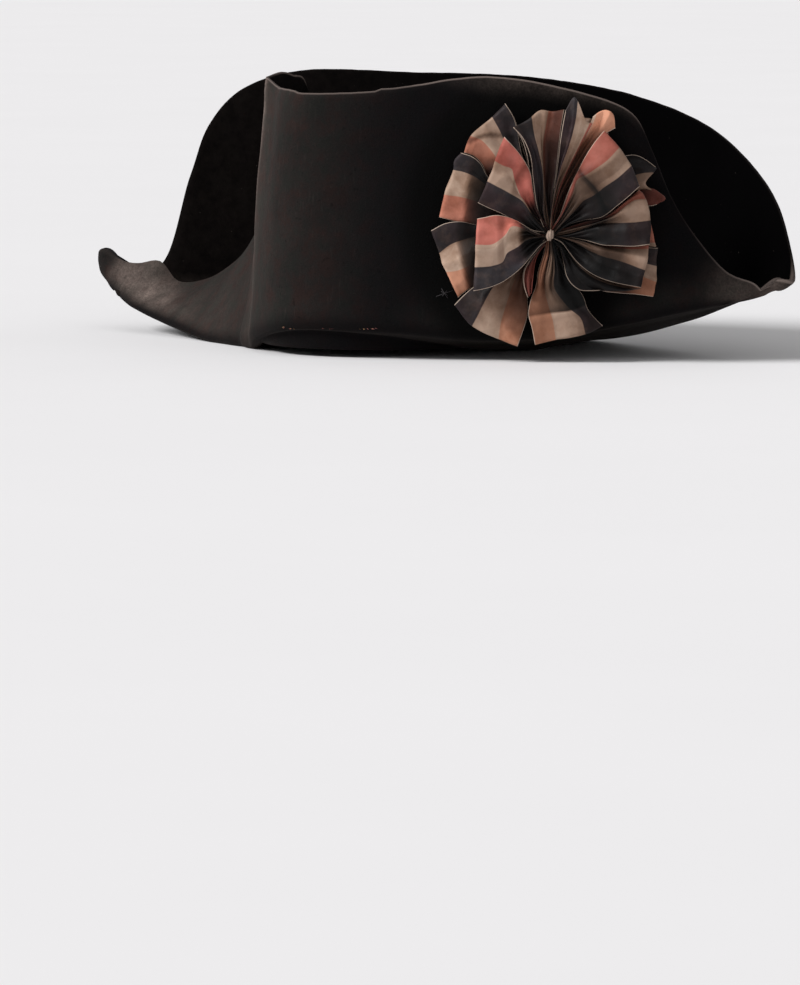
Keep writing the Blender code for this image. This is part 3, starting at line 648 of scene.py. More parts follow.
class BicorneStage(bpy.types.PropertyGroup):
    """The floor, the light and the camera."""

    floor: colour_setting("Floor", "Colour of the floor", (0.86, 0.85, 0.86))
    sky: bpy.props.FloatProperty(
        name="Sky", description="Strength of the light from all round", default=0.40
    )
    key: bpy.props.FloatProperty(name="Key", description="Strength of the key light", default=3.0)
    fill: bpy.props.FloatProperty(name="Fill", description="Strength of the fill light", default=0.25)
    distance: length_setting("Distance", "From the camera to the hat", 3.2)
    azimuth: bpy.props.FloatProperty(
        name="Azimuth", description="Turn of the camera from the front, in degrees", default=35.0
    )
    elevation: bpy.props.FloatProperty(
        name="Elevation", description="Height of the camera, in degrees", default=2.5
    )


def stage_piece(name, bm, materials, smooth=True):
    """A new object in the scene with the bmesh's shape and these materials."""
    mesh = bpy.data.meshes.new(name)
    bm.to_mesh(mesh)
    bm.free()
    for finish in materials:
        mesh.materials.append(finish)
    obj = bpy.data.objects.new(name, mesh)
    bpy.context.scene.collection.objects.link(obj)
    for face in mesh.polygons:
        face.use_smooth = smooth
    return obj


def keep_evaluated(obj):
    """Gives the object the mesh that its modifiers make, and drops them."""
    graph = bpy.context.evaluated_depsgraph_get()
    mesh = bpy.data.meshes.new_from_object(
        obj.evaluated_get(graph), preserve_all_data_layers=True, depsgraph=graph
    )
    mesh.name = obj.data.name
    obj.modifiers.clear()
    obj.data = mesh


def smooth_step(low, high, value):
    t = min(1.0, max(0.0, (value - low) / (high - low)))
    return t * t * (3 - 2 * t)


def between(places, values, at):
    """The value at one place of a broken line, held beyond its ends."""
    if at <= places[0] or at >= places[-1]:
        return values[0] if at <= places[0] else values[-1]
    i = bisect_right(places, at) - 1
    share = (at - places[i]) / (places[i + 1] - places[i])
    return values[i] * (1 - share) + values[i + 1] * share


def through(places, points, at):
    """A smooth curve through the points, which stand at rising places, taken at one place."""
    last = len(places) - 1
    i = min(max(bisect_right(places, at) - 1, 0), last - 1)
    run = places[i + 1] - places[i]

    def slope(k):
        before = (points[k] - points[k - 1]) / (places[k] - places[k - 1]) if k else None
        after = (points[k + 1] - points[k]) / (places[k + 1] - places[k]) if k < last else None
        if before is None or after is None:
            return after or before
        one, two = places[k] - places[k - 1], places[k + 1] - places[k]
        return (before * two + after * one) / (one + two)

    t = (at - places[i]) / run
    held = points[i] * (2 * t**3 - 3 * t**2 + 1) + points[i + 1] * (3 * t**2 - 2 * t**3)
    return held + (slope(i) * (t**3 - 2 * t**2 + t) + slope(i + 1) * (t**3 - t**2)) * run


class Recipe:
    """A material being built: nodes are added by kind, with values or links for their sockets."""

    def __init__(self, name):
        self.material = bpy.data.materials.new(name)
        self.material.use_nodes = True
        self.tree = self.material.node_tree
        self.shader = self.tree.nodes["Principled BSDF"]

    def put(self, node, **sockets):
        for key, value in sockets.items():
            self.feed(node.inputs[key.replace("_", " ")], value)
        return node

    def feed(self, socket, value):
        if isinstance(value, bpy.types.NodeSocket):
            self.tree.links.new(value, socket)
        elif socket.type == "RGBA":
            socket.default_value = (*value, 1.0)
        else:
            socket.default_value = value

    def finish(self, **sockets):
        self.put(self.shader, **sockets)
        return self.material

    def object_place(self, scale=(1, 1, 1), turn=(0, 0, 0)):
        place = self.tree.nodes.new("ShaderNodeTexCoord").outputs["Object"]
        mapping = self.tree.nodes.new("ShaderNodeMapping")
        self.put(mapping, Vector=place, Scale=scale, Rotation=turn)
        return mapping.outputs["Vector"]

    def ribbon_place(self, scale=(1, 1, 1)):
        coordinates = self.tree.nodes.new("ShaderNodeUVMap")
        coordinates.uv_map = "ribbon"
        mapping = self.tree.nodes.new("ShaderNodeMapping")
        self.put(mapping, Vector=coordinates.outputs["UV"], Scale=scale)
        return mapping.outputs["Vector"]

    def attribute(self, name):
        node = self.tree.nodes.new("ShaderNodeAttribute")
        node.attribute_name = name
        return node.outputs["Fac"]

    def noise(self, place, scale, detail=4.0, rough=0.6):
        node = self.tree.nodes.new("ShaderNodeTexNoise")
        self.put(node, Vector=place, Scale=scale, Detail=detail, Roughness=rough)
        return node.outputs["Fac"]

    def facets(self, place, scale):
        """Cone-shaped facets with sharp creases between them, as in crushed silk."""
        node = self.tree.nodes.new("ShaderNodeTexVoronoi")
        self.put(node, Vector=place, Scale=scale)
        return node.outputs["Distance"]

    def ramp(self, value, *stops):
        """Stops are (position, grey or colour)."""
        node = self.tree.nodes.new("ShaderNodeValToRGB")
        line = node.color_ramp
        while len(line.elements) < len(stops):
            line.elements.new(1.0)
        for element, (position, colour) in zip(line.elements, stops):
            element.position = position
            shade = (colour,) * 3 if isinstance(colour, (int, float)) else colour
            element.color = (*shade, 1.0)
        self.feed(node.inputs["Fac"], value)
        return node.outputs["Color"]

    def combine(self, kind, a, b):
        node = self.tree.nodes.new("ShaderNodeMath")
        node.operation = kind
        self.feed(node.inputs[0], a)
        self.feed(node.inputs[1], b)
        return node.outputs["Value"]

    def times(self, a, b):
        return self.combine("MULTIPLY", a, b)

    def mix(self, share, a, b, kind="MIX"):
        node = self.tree.nodes.new("ShaderNodeMix")
        node.data_type = "RGBA"
        node.blend_type = kind
        sockets = [socket for socket in node.inputs if socket.type == "RGBA"]
        self.feed(node.inputs["Factor"], share)
        self.feed(sockets[0], a)
        self.feed(sockets[1], b)
        return next(socket for socket in node.outputs if socket.type == "RGBA")

    def tinted(self, base, tint):
        """The base colour multiplied by another colour or a grey."""
        return self.mix(1.0, base, tint, "MULTIPLY")

    def bump(self, height, distance, strength=1.0, under=None):
        node = self.tree.nodes.new("ShaderNodeBump")
        self.put(node, Height=height, Distance=distance, Strength=strength)
        if under:
            self.feed(node.inputs["Normal"], under)
        return node.outputs["Normal"]


def felt_outside(colours):
    """Fur felt, sun-browned and painted lighter where it faces the key light, with worn nap, dust, a painted
    shadow round the cockade, painted shade below the fold, and a light line along its cut edge that is
    partly a painted highlight.
    """
    felt = Recipe("felt_outside_browned_and_lit")
    place = felt.object_place()
    fibre = felt.noise(place, 1300.0, 4.0, 0.7)
    cloud = felt.ramp(felt.noise(place, 26.0, 4.0), (0.30, 0.70), (0.70, 1.25))
    # Sun-browned felt, and painted light where the felt faces the key light or takes light from the floor.
    fade = felt.times(felt.attribute("faded_and_lit"), cloud)
    base = felt.mix(fade, tuple(colours.black), tuple(colours.faded_and_lit))
    grain = felt.ramp(fibre, (0.30, 0.72), (0.70, 1.30))
    base = felt.tinted(base, grain)
    blotch = felt.noise(place, 75.0, 5.0, 0.7)
    reddish, greenish = (1.22, 0.92, 0.88), (0.82, 1.02, 0.98)
    tint = felt.ramp(blotch, (0.38, reddish), (0.50, 1.0), (0.62, greenish))
    base = felt.tinted(base, tint)
    pits = felt.ramp(felt.noise(place, 330.0, 2.0, 0.5), (0.66, 1.0), (0.72, 0.62))
    base = felt.tinted(base, pits)
    scratch = felt.noise(felt.object_place(scale=(1, 1, 0.14), turn=(0.12, 0, 0)), 700.0, 2.0, 0.5)
    scratch = felt.times(felt.ramp(scratch, (0.62, 0.0), (0.75, 0.07)), fade)
    base = felt.mix(scratch, base, tuple(colours.worn))
    # Painted shadow round the cockade.
    base = felt.tinted(base, felt.attribute("shade"))
    # Worn nap, with the painted light of the band below the edge and of the crease.
    patch = felt.ramp(felt.noise(place, 120.0, 5.0, 0.65), (0.25, 0.35), (0.75, 1.25))
    wear = felt.times(felt.attribute("worn"), patch)
    speck = felt.ramp(felt.noise(place, 760.0, 5.0, 0.85), (0.36, 0.55), (0.64, 1.5))
    wear = felt.times(wear, speck)
    base = felt.mix(wear, base, tuple(colours.worn))
    # The light line along the cut edge: partly the cut's lighter fibre, partly a painted highlight.
    edge = felt.ramp(felt.attribute("to_edge"), (0.03, 0.95), (0.11, 0.0))
    edge = felt.times(edge, felt.attribute("edge_wear_and_highlight"))
    base = felt.mix(edge, base, tuple(colours.edge))
    dust = felt.ramp(felt.noise(place, 900.0, 0.0), (0.86, 0.0), (0.87, 0.14))
    dust = felt.times(dust, felt.attribute("faded_and_lit"))
    base = felt.mix(dust, base, tuple(colours.dust))
    nap = felt.bump(fibre, 0.00030, 0.75)
    nap = felt.bump(felt.noise(place, 240.0, 4.0), 0.00045, 0.6, nap)
    return felt.finish(
        Base_Color=base,
        Roughness=0.9,
        Normal=nap,
        Sheen_Weight=0.035,
        Sheen_Roughness=0.45,
        Sheen_Tint=(0.75, 0.62, 0.55),
        Specular_IOR_Level=0.08,
    )


def felt_inside(colours):
    """Felt that has kept its black, painted darker still as shade in the hollow, with settled dust, painted
    light in the far horn's trough, and a fine lighter line along its cut edge that is partly a painted
    highlight.
    """
    felt = Recipe("felt_black_inside")
    place = felt.object_place()
    fibre = felt.noise(place, 1300.0, 4.0, 0.7)
    cloud = felt.ramp(felt.noise(place, 30.0, 3.0), (0.3, 0.8), (0.7, 1.3))
    # Painted shade: darker than the black outside.
    base = felt.tinted(tuple(INSIDE_DARK * shade for shade in colours.black), cloud)
    base = felt.tinted(base, felt.ramp(fibre, (0.30, 0.7), (0.70, 1.4)))
    # Dust on the crown's top, and painted light in the far horn's trough and on the far flap.
    patch = felt.ramp(felt.noise(place, 140.0, 5.0, 0.7), (0.30, 0.03), (0.70, 0.10))
    wear = felt.times(felt.attribute("dusty_and_lit"), patch)
    base = felt.mix(wear, base, tuple(colours.worn))
    # The fine line along the cut edge, partly a painted highlight.
    edge = felt.ramp(felt.attribute("to_edge"), (0.02, 0.6), (0.12, 0.0))
    edge = felt.times(edge, felt.attribute("edge_wear_and_highlight"))
    base = felt.mix(edge, base, tuple(colours.edge))
    dust = felt.ramp(felt.noise(place, 900.0, 0.0), (0.885, 0.0), (0.895, 0.2))
    base = felt.mix(dust, base, tuple(colours.dust))
    return felt.finish(
        Base_Color=base,
        Roughness=0.94,
        Normal=felt.bump(fibre, 0.00025, 0.6),
        Specular_IOR_Level=0.02,
    )


def felt_edge(colours):
    """The cut through the felt: short fibres, lighter where the edge has worn and where a painted highlight
    lies along it.
    """
    felt = Recipe("felt_cut_edge")
    place = felt.object_place()
    fibre = felt.noise(place, 1500.0, 4.0, 0.7)
    light = felt.times(felt.ramp(fibre, (0.30, 0.25), (0.65, 0.7)), felt.attribute("edge_wear_and_highlight"))
    base = felt.mix(light, tuple(colours.black), tuple(colours.edge))
    return felt.finish(
        Base_Color=base,
        Roughness=0.92,
        Normal=felt.bump(fibre, 0.0003, 0.8),
        Sheen_Weight=0.02,
        Specular_IOR_Level=0.08,
    )


class FeltForm:
    """The felt's middle surface as ribs: one from the crown's middle to the free edge for each column."""

    def __init__(self, sizes):
        self.sizes = sizes
        self.side_reach = sizes.half_span - sizes.opening_width / 2
        self.half_width = (sizes.opening_width + sizes.thickness) / 2
        self.half_length = (sizes.opening_length + sizes.thickness) / 2
        self.columns, self.sharp_column = self.columns_round_hat()
        front = min(column[4] for column in self.columns)
        back = max(column[7] for column in self.columns)
        self.setback = Vector((0, -(front + back) / 2, 0))
        self.ribs = [self.rib(column) for column in self.columns]

    def rim_point(self, turn, height=0.0, inset=0.0):
        """A point of the head opening's oval, drawn in towards the middle by the share inset."""
        angle = math.radians(turn)
        across = self.half_width * (1 - inset) * math.cos(angle)
        along = self.half_length * (1 - inset) * math.sin(angle)
        return Vector((across, along, height))

    def measured(self, section):
        """The turn and rounding of a section, with its rim, fold and edge as points of the hat."""
        height, reach = self.sizes.flap_height, self.side_reach
        base = self.rim_point(section.turn)
        least = self.sizes.thickness / 2
        rim = max(least, section.rim_up * height)
        fold_up = max(least, section.fold_up * height)
        fold = base + Vector((section.fold_x * reach, section.fold_y * reach, fold_up))
        edge = base + Vector((section.edge_x * reach, section.edge_y * reach, section.edge_up * height))
        return [section.turn, section.rounding * self.sizes.fold_round, rim, *fold, *edge]

    def columns_round_hat(self):
        """Smooth columns through the sections, all the way round, broken only at the sharp ones."""
        rows = [self.measured(section) for section in SECTIONS]
        sharp = [place for place, section in enumerate(SECTIONS) if section.place in SHARP]
        count = len(rows)

        def row(i):
            laps, place = divmod(i, count)
            return [rows[place][0] + 360 * laps, *rows[place][1:]]

        def gap(i):
            return math.dist(row(i)[6:9], row(i + 1)[6:9]) ** 0.5

        def slope(i):
            before, here, after = row(i - 1), row(i), row(i + 1)
            one, two = gap(i - 1), gap(i)
            return [
                ((h - b) / one * two + (a - h) / two * one) / (one + two)
                for b, h, a in zip(before, here, after)
            ]

        columns, sharp_column = [], 0
        for i in range(count):
            here, after, run = row(i), row(i + 1), gap(i)
            straight = [(a - h) / run for h, a in zip(here, after)]
            leaving = straight if i in sharp else slope(i)
            arriving = straight if (i + 1) % count in sharp else slope(i + 1)
            if SECTIONS[i].place == SHARP[0]:
                sharp_column = len(columns)
            widest = max(math.dist(here[3:6], after[3:6]), math.dist(here[6:9], after[6:9]))
            steps = max(LEAST_COLUMNS, round(widest / COLUMN_WIDTH))
            for step in range(steps):
                t = step / steps
                weights = (
                    2 * t**3 - 3 * t**2 + 1,
                    (t**3 - 2 * t**2 + t) * run,
                    3 * t**2 - 2 * t**3,
                    (t**3 - t**2) * run,
                )
                parts = zip(here, leaving, after, arriving)
                columns.append([sum(w * v for w, v in zip(weights, values)) for values in parts])
        return columns, sharp_column

    def crown_profile(self, turn):
        """Points of the crown above one place of the rim, from near the middle of its top down the wall."""
        sizes = self.sizes
        shoulder = sizes.crown_shoulder / self.half_width
        start = sizes.crown_taper + shoulder
        points = []
        for ring in range(1, TOP_RINGS + 1):
            inset = 1 - (1 - start) * ring / (TOP_RINGS + 1)
            way_in = smooth_step(start, 1.0, inset)
            points.append(self.rim_point(turn, sizes.crown_height + sizes.crown_dome * way_in, inset))
        for ring in range(SHOULDER_RINGS):
            angle = math.pi / 2 * ring / (SHOULDER_RINGS - 1)
            inset = sizes.crown_taper + shoulder * (1 - math.sin(angle))
            height = sizes.crown_height - sizes.crown_shoulder * (1 - math.cos(angle))
            points.append(self.rim_point(turn, height, inset))
        shoulder_height = sizes.crown_height - sizes.crown_shoulder
        for ring in range(1, CROWN_WALL_RINGS + 1):
            share = 1 - ring / (CROWN_WALL_RINGS + 1)
            points.append(self.rim_point(turn, shoulder_height * share, sizes.crown_taper * share))
        return points

    def nick(self, turn):
        """How far the cut edge has worn back at one place round the hat."""
        uneven = noise.noise(Vector((turn * 0.25, 0.3, 0)))
        uneven += 0.5 * noise.noise(Vector((turn * 0.8, 4.3, 0)))
        front = turn if turn < 180 else turn - 360
        worn = smooth_step(*WORN_BACK_START, front) - smooth_step(*WORN_BACK_END, front)
        return self.sizes.ragged * (UNEVEN * uneven + WORN_BACK * worn)

    def rib(self, column):
        turn, rounding, rim_height = column[:3]
        rim = self.rim_point(turn, rim_height)
        fold, edge = Vector(column[3:6]), Vector(column[6:9])
        points = self.crown_profile(turn)
        points += rounded_corner(points[-1], rim, fold, self.sizes.rim_round, RIM_RINGS)
        corner = rounded_corner(rim, fold, edge, rounding, FOLD_RINGS)
        start = points[-1]
        for ring in range(1, FLOOR_RINGS + 1):
            points.append(start.lerp(corner[0], ring / (FLOOR_RINGS + 1)))
        points += corner
        end = edge + (fold - edge).normalized() * self.nick(turn)
        for ring in range(1, WALL_RINGS + 1):
            points.append(corner[-1].lerp(end, ring / WALL_RINGS))
        return [point + self.setback for point in points]

    def crease_line(self):
        """The points of the crease from its foot to the edge."""
        return self.ribs[self.sharp_column][-1 - WALL_RINGS :]


def rounded_corner(before, corner, after, reach, rings):
    """Points along a corner that is rounded over the given reach."""
    inward, outward = before - corner, after - corner
    start = corner + inward.normalized() * min(reach, MOST_ROUNDING * inward.length)
    end = corner + outward.normalized() * min(reach, MOST_ROUNDING * outward.length)
    points = []
    for ring in range(rings):
        t = ring / (rings - 1)
        points.append(start * (1 - t) ** 2 + corner * 2 * t * (1 - t) + end * t**2)
    return points


def loft(form):
    """The ribs as one surface: a disc in the middle of the crown, drawn outwards ring by ring."""
    ribs = form.ribs
    bm = bmesh.new()
    column = bm.verts.layers.int.new("column")
    ring_number = bm.verts.layers.int.new("ring")
    top = Vector((0, 0, form.sizes.crown_height + form.sizes.crown_dome)) + form.setback
    segments = len(ribs)
    disc = bmesh.ops.create_circle(bm, cap_ends=True, cap_tris=True, segments=segments, radius=DISC_RADIUS)
    around = [vert for vert in disc["verts"] if vert.co.length > DISC_RADIUS / 2]
    for number, vert in enumerate(around):
        vert[column] = number
        vert.co = ribs[number][0]
    for vert in bm.verts:
        if vert.co.length < DISC_RADIUS / 2:
            vert.co = top
    edges = [edge for edge in bm.edges if edge.is_boundary]
    for ring in range(1, len(ribs[0])):
        grown = bmesh.ops.extrude_edge_only(bm, edges=edges)["geom"]
        for vert in (item for item in grown if isinstance(item, bmesh.types.BMVert)):
            vert[ring_number] = ring
            vert.co = ribs[vert[column]][ring]
        edges = [item for item in grown if isinstance(item, bmesh.types.BMEdge) and item.is_boundary]
    return bm


def fall_off(distance, reach):
    """From 1 in the middle of a spot to almost nothing at twice its reach."""
    return math.exp(-((distance / reach) ** 2))


def away_from(place, point):
    return (place - Vector(point)).length


def thickness_at(place, left, sizes):
    """The felt's thickness as a share of the thickest: thin at the cut edge, thick at the pinched horns."""
    thin = sizes.thinnest + (sizes.thickness - sizes.thinnest) * smooth_step(*THINNING, left)
    nub = NUB_THICK * fall_off(away_from(place, FAR_NUB), NUB_THICK_REACH)
    lip = LIP_THICK * fall_off(away_from(place, NEAR_LIP), LIP_THICK_REACH)
    return min(1.0, thin / sizes.thickest + max(nub, lip))


def wear_at(place, crease, turned_up, rubbed):
    """How worn the nap is: in spots, and in the band below the cut edge and along the crease, where it is
    partly rubbed nap and partly painted light, with a painted glow of light beside the crease.
    """
    wear = 0.0
    for spot in WORN_PLACES:
        wear = max(wear, spot.strength * fall_off(away_from(place, (spot.x, spot.y, spot.z)), spot.reach))
    wear *= smooth_step(*NUB_CLEAR, away_from(place, FAR_NUB)) * turned_up
    wear = max(wear, rubbed)
    near = min((place - point).length for point in crease)
    if near < CREASE_REACH:
        top = crease[-1].z
        up = smooth_step(0.25 * top, top, place.z)
        line = CREASE_LINE + CREASE_LINE_GROWS * up
        wear = max(wear, (CREASE_WORN_AND_LIT + CREASE_WORN_AND_LIT_GROWS * up) * fall_off(near, line))
        wear = max(wear, CREASE_PAINTED_GLOW * fall_off(near, CREASE_GLOW))
    return wear


def faded_and_lit_at(place):
    """How far the outer side is browned: partly sun-browned and partly painted lighter on the far side and
    the near horn, which face the key light, painted light thrown up from the floor on the low near side, and
    less round the far horn's end.
    """
    light = 1 - smooth_step(*FADED_AND_LIT_SIDE, place.x)
    near_horn = smooth_step(*NEAR_HORN, place.x) + 1.2 * smooth_step(*NEAR_HORN_END, place.x)
    light = max(light, NEAR_HORN_FADED_AND_LIT * near_horn * (1 - smooth_step(*NEAR_HORN_TOP, place.z)))
    low = (1 - smooth_step(*LOW_FELT, place.z)) * smooth_step(*LOW_FELT_SIDE, place.x)
    light = max(light, LOW_PAINTED_LIGHT * low)
    return light * (1 - NUB_DARK * fall_off(away_from(place, FAR_NUB), NUB_DARK_REACH))


def shade_at(spot):
    """The painted shadow on the felt behind and round the cockade, as a brightness, by millimetres in the
    cockade's plane.
    """
    across = (spot.x - OVAL_MIDDLE[0]) / OVAL_RADII[0]
    up = (spot.y - OVAL_MIDDLE[1]) / OVAL_RADII[1]
    beyond = (math.hypot(across, up) - 1) * OVAL_RADII[0]
    # How deep the painted shadow lies here.
    kept = (1 - smooth_step(*PAINTED_SHADOW_BEYOND, beyond)) * (1 - smooth_step(*PAINTED_SHADOW_ASIDE, spot.x))
    return 1 - PAINTED_SHADOW_STRENGTH * kept * (1 - smooth_step(*PAINTED_SHADOW_DEEP, abs(spot.z)))


def dust_and_light_at(place, sizes):
    """How dusty the inner side is, and how much painted light lies in the far horn's trough and on the far
    flap.
    """
    trough_up = smooth_step(*TROUGH_UP, place.z + TROUGH_SLOPE * (place.x - TROUGH_START))
    trough = (1 - trough_up) * (1 - smooth_step(*TROUGH_ALONG, place.x))
    over_head = math.hypot(2 * place.x / sizes.opening_width, 2 * place.y / sizes.opening_length)
    crown = (1 - smooth_step(*CROWN_ROUND, over_head)) * smooth_step(*CROWN_UP, place.z)
    far_side = 1 - smooth_step(*FAR_ALONG, place.x)
    return max(trough, CROWN_DUST * crown, FAR_PAINTED_LIGHT * far_side)


def lengths_to_edge(ribs):
    """For each rib, how far each of its points lies from the cut edge."""
    lengths = []
    for rib in ribs:
        away, run = [0.0], 0.0
        for outer, inner in zip(rib[::-1], rib[-2::-1]):
            run += (outer - inner).length
            away.append(run)
        lengths.append(away[::-1])
    return lengths


def mark_felt(bm, form):
    """Writes how far each point lies from the cut edge, and how worn, browned and dusty the felt is there,
    with the painted light and shade on it: highlights along the edge and crease, lighter sides that face the
    key light, a darker underside, a shadow round the cockade, and light in the far horn's trough.
    """
    column, ring = bm.verts.layers.int["column"], bm.verts.layers.int["ring"]
    names = "to_edge", "edge_wear_and_highlight", "worn", "faded_and_lit", "shade", "dusty_and_lit"
    for name in names:
        bm.verts.layers.float.new(name)
    to_edge, edge_wear_and_highlight, worn, faded_and_lit, shade, dusty_and_lit = (bm.verts.layers.float[name] for name in names)
    thickness = bm.verts.layers.deform.new("thickness")
    crease = form.crease_line()
    turn_up = len(form.ribs[0]) - 1 - WALL_RINGS - FOLD_RINGS // 2
    turns, *edge_columns = zip(*EDGE_WEAR_AND_LIGHT)
    to_seat = seat_matrix().inverted()
    lengths = lengths_to_edge(form.ribs)
    for vert in bm.verts:
        number, place = vert[column], vert[ring]
        turn = form.columns[number][0]
        left = lengths[number][place]
        round_hat = turn - 360 if turn > LAST_FAR_TURN else turn
        lightened, band_width, band = (between(turns, values, round_hat) for values in edge_columns)
        turned_up = smooth_step(*TURNED_UP, lengths[number][turn_up] - left)
        # The band below the cut edge: partly rubbed nap, partly painted light where the top edge turns up to
        # the light.
        rubbed = band * (1 - left / band_width) ** 1.5 if left < band_width else 0.0
        # Below the fold the felt is painted darker: painted shade on the underside.
        outside = 0.0
        if place > turn_up - FLOOR_RINGS:
            outside = TURNED_UP_LEAST + (1 - TURNED_UP_LEAST) * turned_up
        vert[to_edge] = left / EDGE_SCALE
        vert[edge_wear_and_highlight] = lightened
        vert[thickness][0] = thickness_at(vert.co, left, form.sizes)
        vert[worn] = wear_at(vert.co, crease, turned_up, rubbed)
        vert[faded_and_lit] = faded_and_lit_at(vert.co) * outside
        vert[shade] = shade_at(to_seat @ vert.co)
        vert[dusty_and_lit] = dust_and_light_at(vert.co, form.sizes)


def dent_felt(bm, depth):
    """Soft uneven dents, which die out where the hat stands on the floor and at the crown's rim."""
    to_edge = bm.verts.layers.float["to_edge"]
    bm.normal_update()
    moves = []
    for vert in bm.verts:
        fade = smooth_step(*DENTS_START, vert.co.z)
        broad = noise.noise(vert.co * BROAD_DENTS)
        small = noise.noise(vert.co * SMALL_DENTS + Vector((3, 7, 1)))
        inwards = smooth_step(*DENTS_INWARDS, vert[to_edge] * EDGE_SCALE)
        height = (BROAD_DEPTH + (1 - BROAD_DEPTH) * inwards) * broad + SMALL_DEPTH * inwards * small
        moves.append(vert.normal * depth * fade * height)
    for vert, move in zip(bm.verts, moves):
        vert.co += move


class BICORNE_OT_felt(bpy.types.Operator):
    """Makes the felt, crown and brim in one"""

    bl_idname = "bicorne.felt"
    bl_label = "Felt"

    def execute(self, context):
        sizes, colours = context.scene.bicorne_felt, context.scene.bicorne_felt_colours
        form = FeltForm(sizes)
        bm = loft(form)
        bmesh.ops.recalc_face_normals(bm, faces=bm.faces)
        crown_top = max(bm.verts, key=lambda vert: vert.co.z if vert.co.xy.length < 0.03 else 0)
        crown_top.normal_update()
        if crown_top.normal.z < 0:
            bmesh.ops.reverse_faces(bm, faces=bm.faces)
        mark_felt(bm, form)
        dent_felt(bm, sizes.ripple)
        finishes = [felt_inside(colours), felt_outside(colours), felt_edge(colours)]
        felt = stage_piece("felt", bm, finishes)
        felt.vertex_groups.new(name="thickness")
        wall = felt.modifiers.new("felt thickness", "SOLIDIFY")
        wall.thickness = sizes.thickest
        wall.vertex_group = "thickness"
        wall.thickness_vertex_group = 0.0
        wall.offset = 0.0
        wall.use_quality_normals = True
        wall.material_offset = 1
        wall.material_offset_rim = 2
        soft = felt.modifiers.new("softened edge", "BEVEL")
        soft.width = SOFTENED
        soft.segments = 2
        soft.limit_method = "ANGLE"
        soft.angle_limit = math.radians(SOFTENED_ANGLE)
        keep_evaluated(felt)
        round_off(felt, FAR_NUB, reach=0.024, times=14, swell=0.0024)
        round_off(felt, NEAR_LIP, reach=0.015, times=9, swell=0.0012)
        for vert in felt.data.vertices:
            vert.co.z = max(0.0, vert.co.z)
        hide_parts("felt_body")
        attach(felt, BODY)
        return {"FINISHED"}


def round_off(felt, middle, reach, times, swell):
    """Softens the felt round one place, as if it had been pinched and rubbed there."""
    bm = bmesh.new()
    bm.from_mesh(felt.data)
    near = {vert: vert.co.copy() for vert in bm.verts if (vert.co - Vector(middle)).length < reach}
    for _ in range(times):
        bmesh.ops.smooth_vert(
            bm, verts=list(near), factor=0.5, use_axis_x=True, use_axis_y=True, use_axis_z=True
        )
    bm.normal_update()
    for vert, before in near.items():
        away = (before - Vector(middle)).length / reach
        vert.co = before.lerp(vert.co, 1 - smooth_step(0.55, 1.0, away))
        vert.co += vert.normal * swell * (1 - away**2) ** 2
    bm.to_mesh(felt.data)
    bm.free()


def seat_matrix():
    """Turns millimetres in the plane of the cockade into the hat's metres."""
    out = Vector(SEAT_OUT).normalized()
    across = Vector((0, 0, 1)).cross(out).normalized()
    up = out.cross(across)
    turned = Matrix((across, up, out)).transposed().to_4x4()
    return Matrix.Translation(SEAT_PLACE) @ turned @ Matrix.Scale(MILLI, 4)


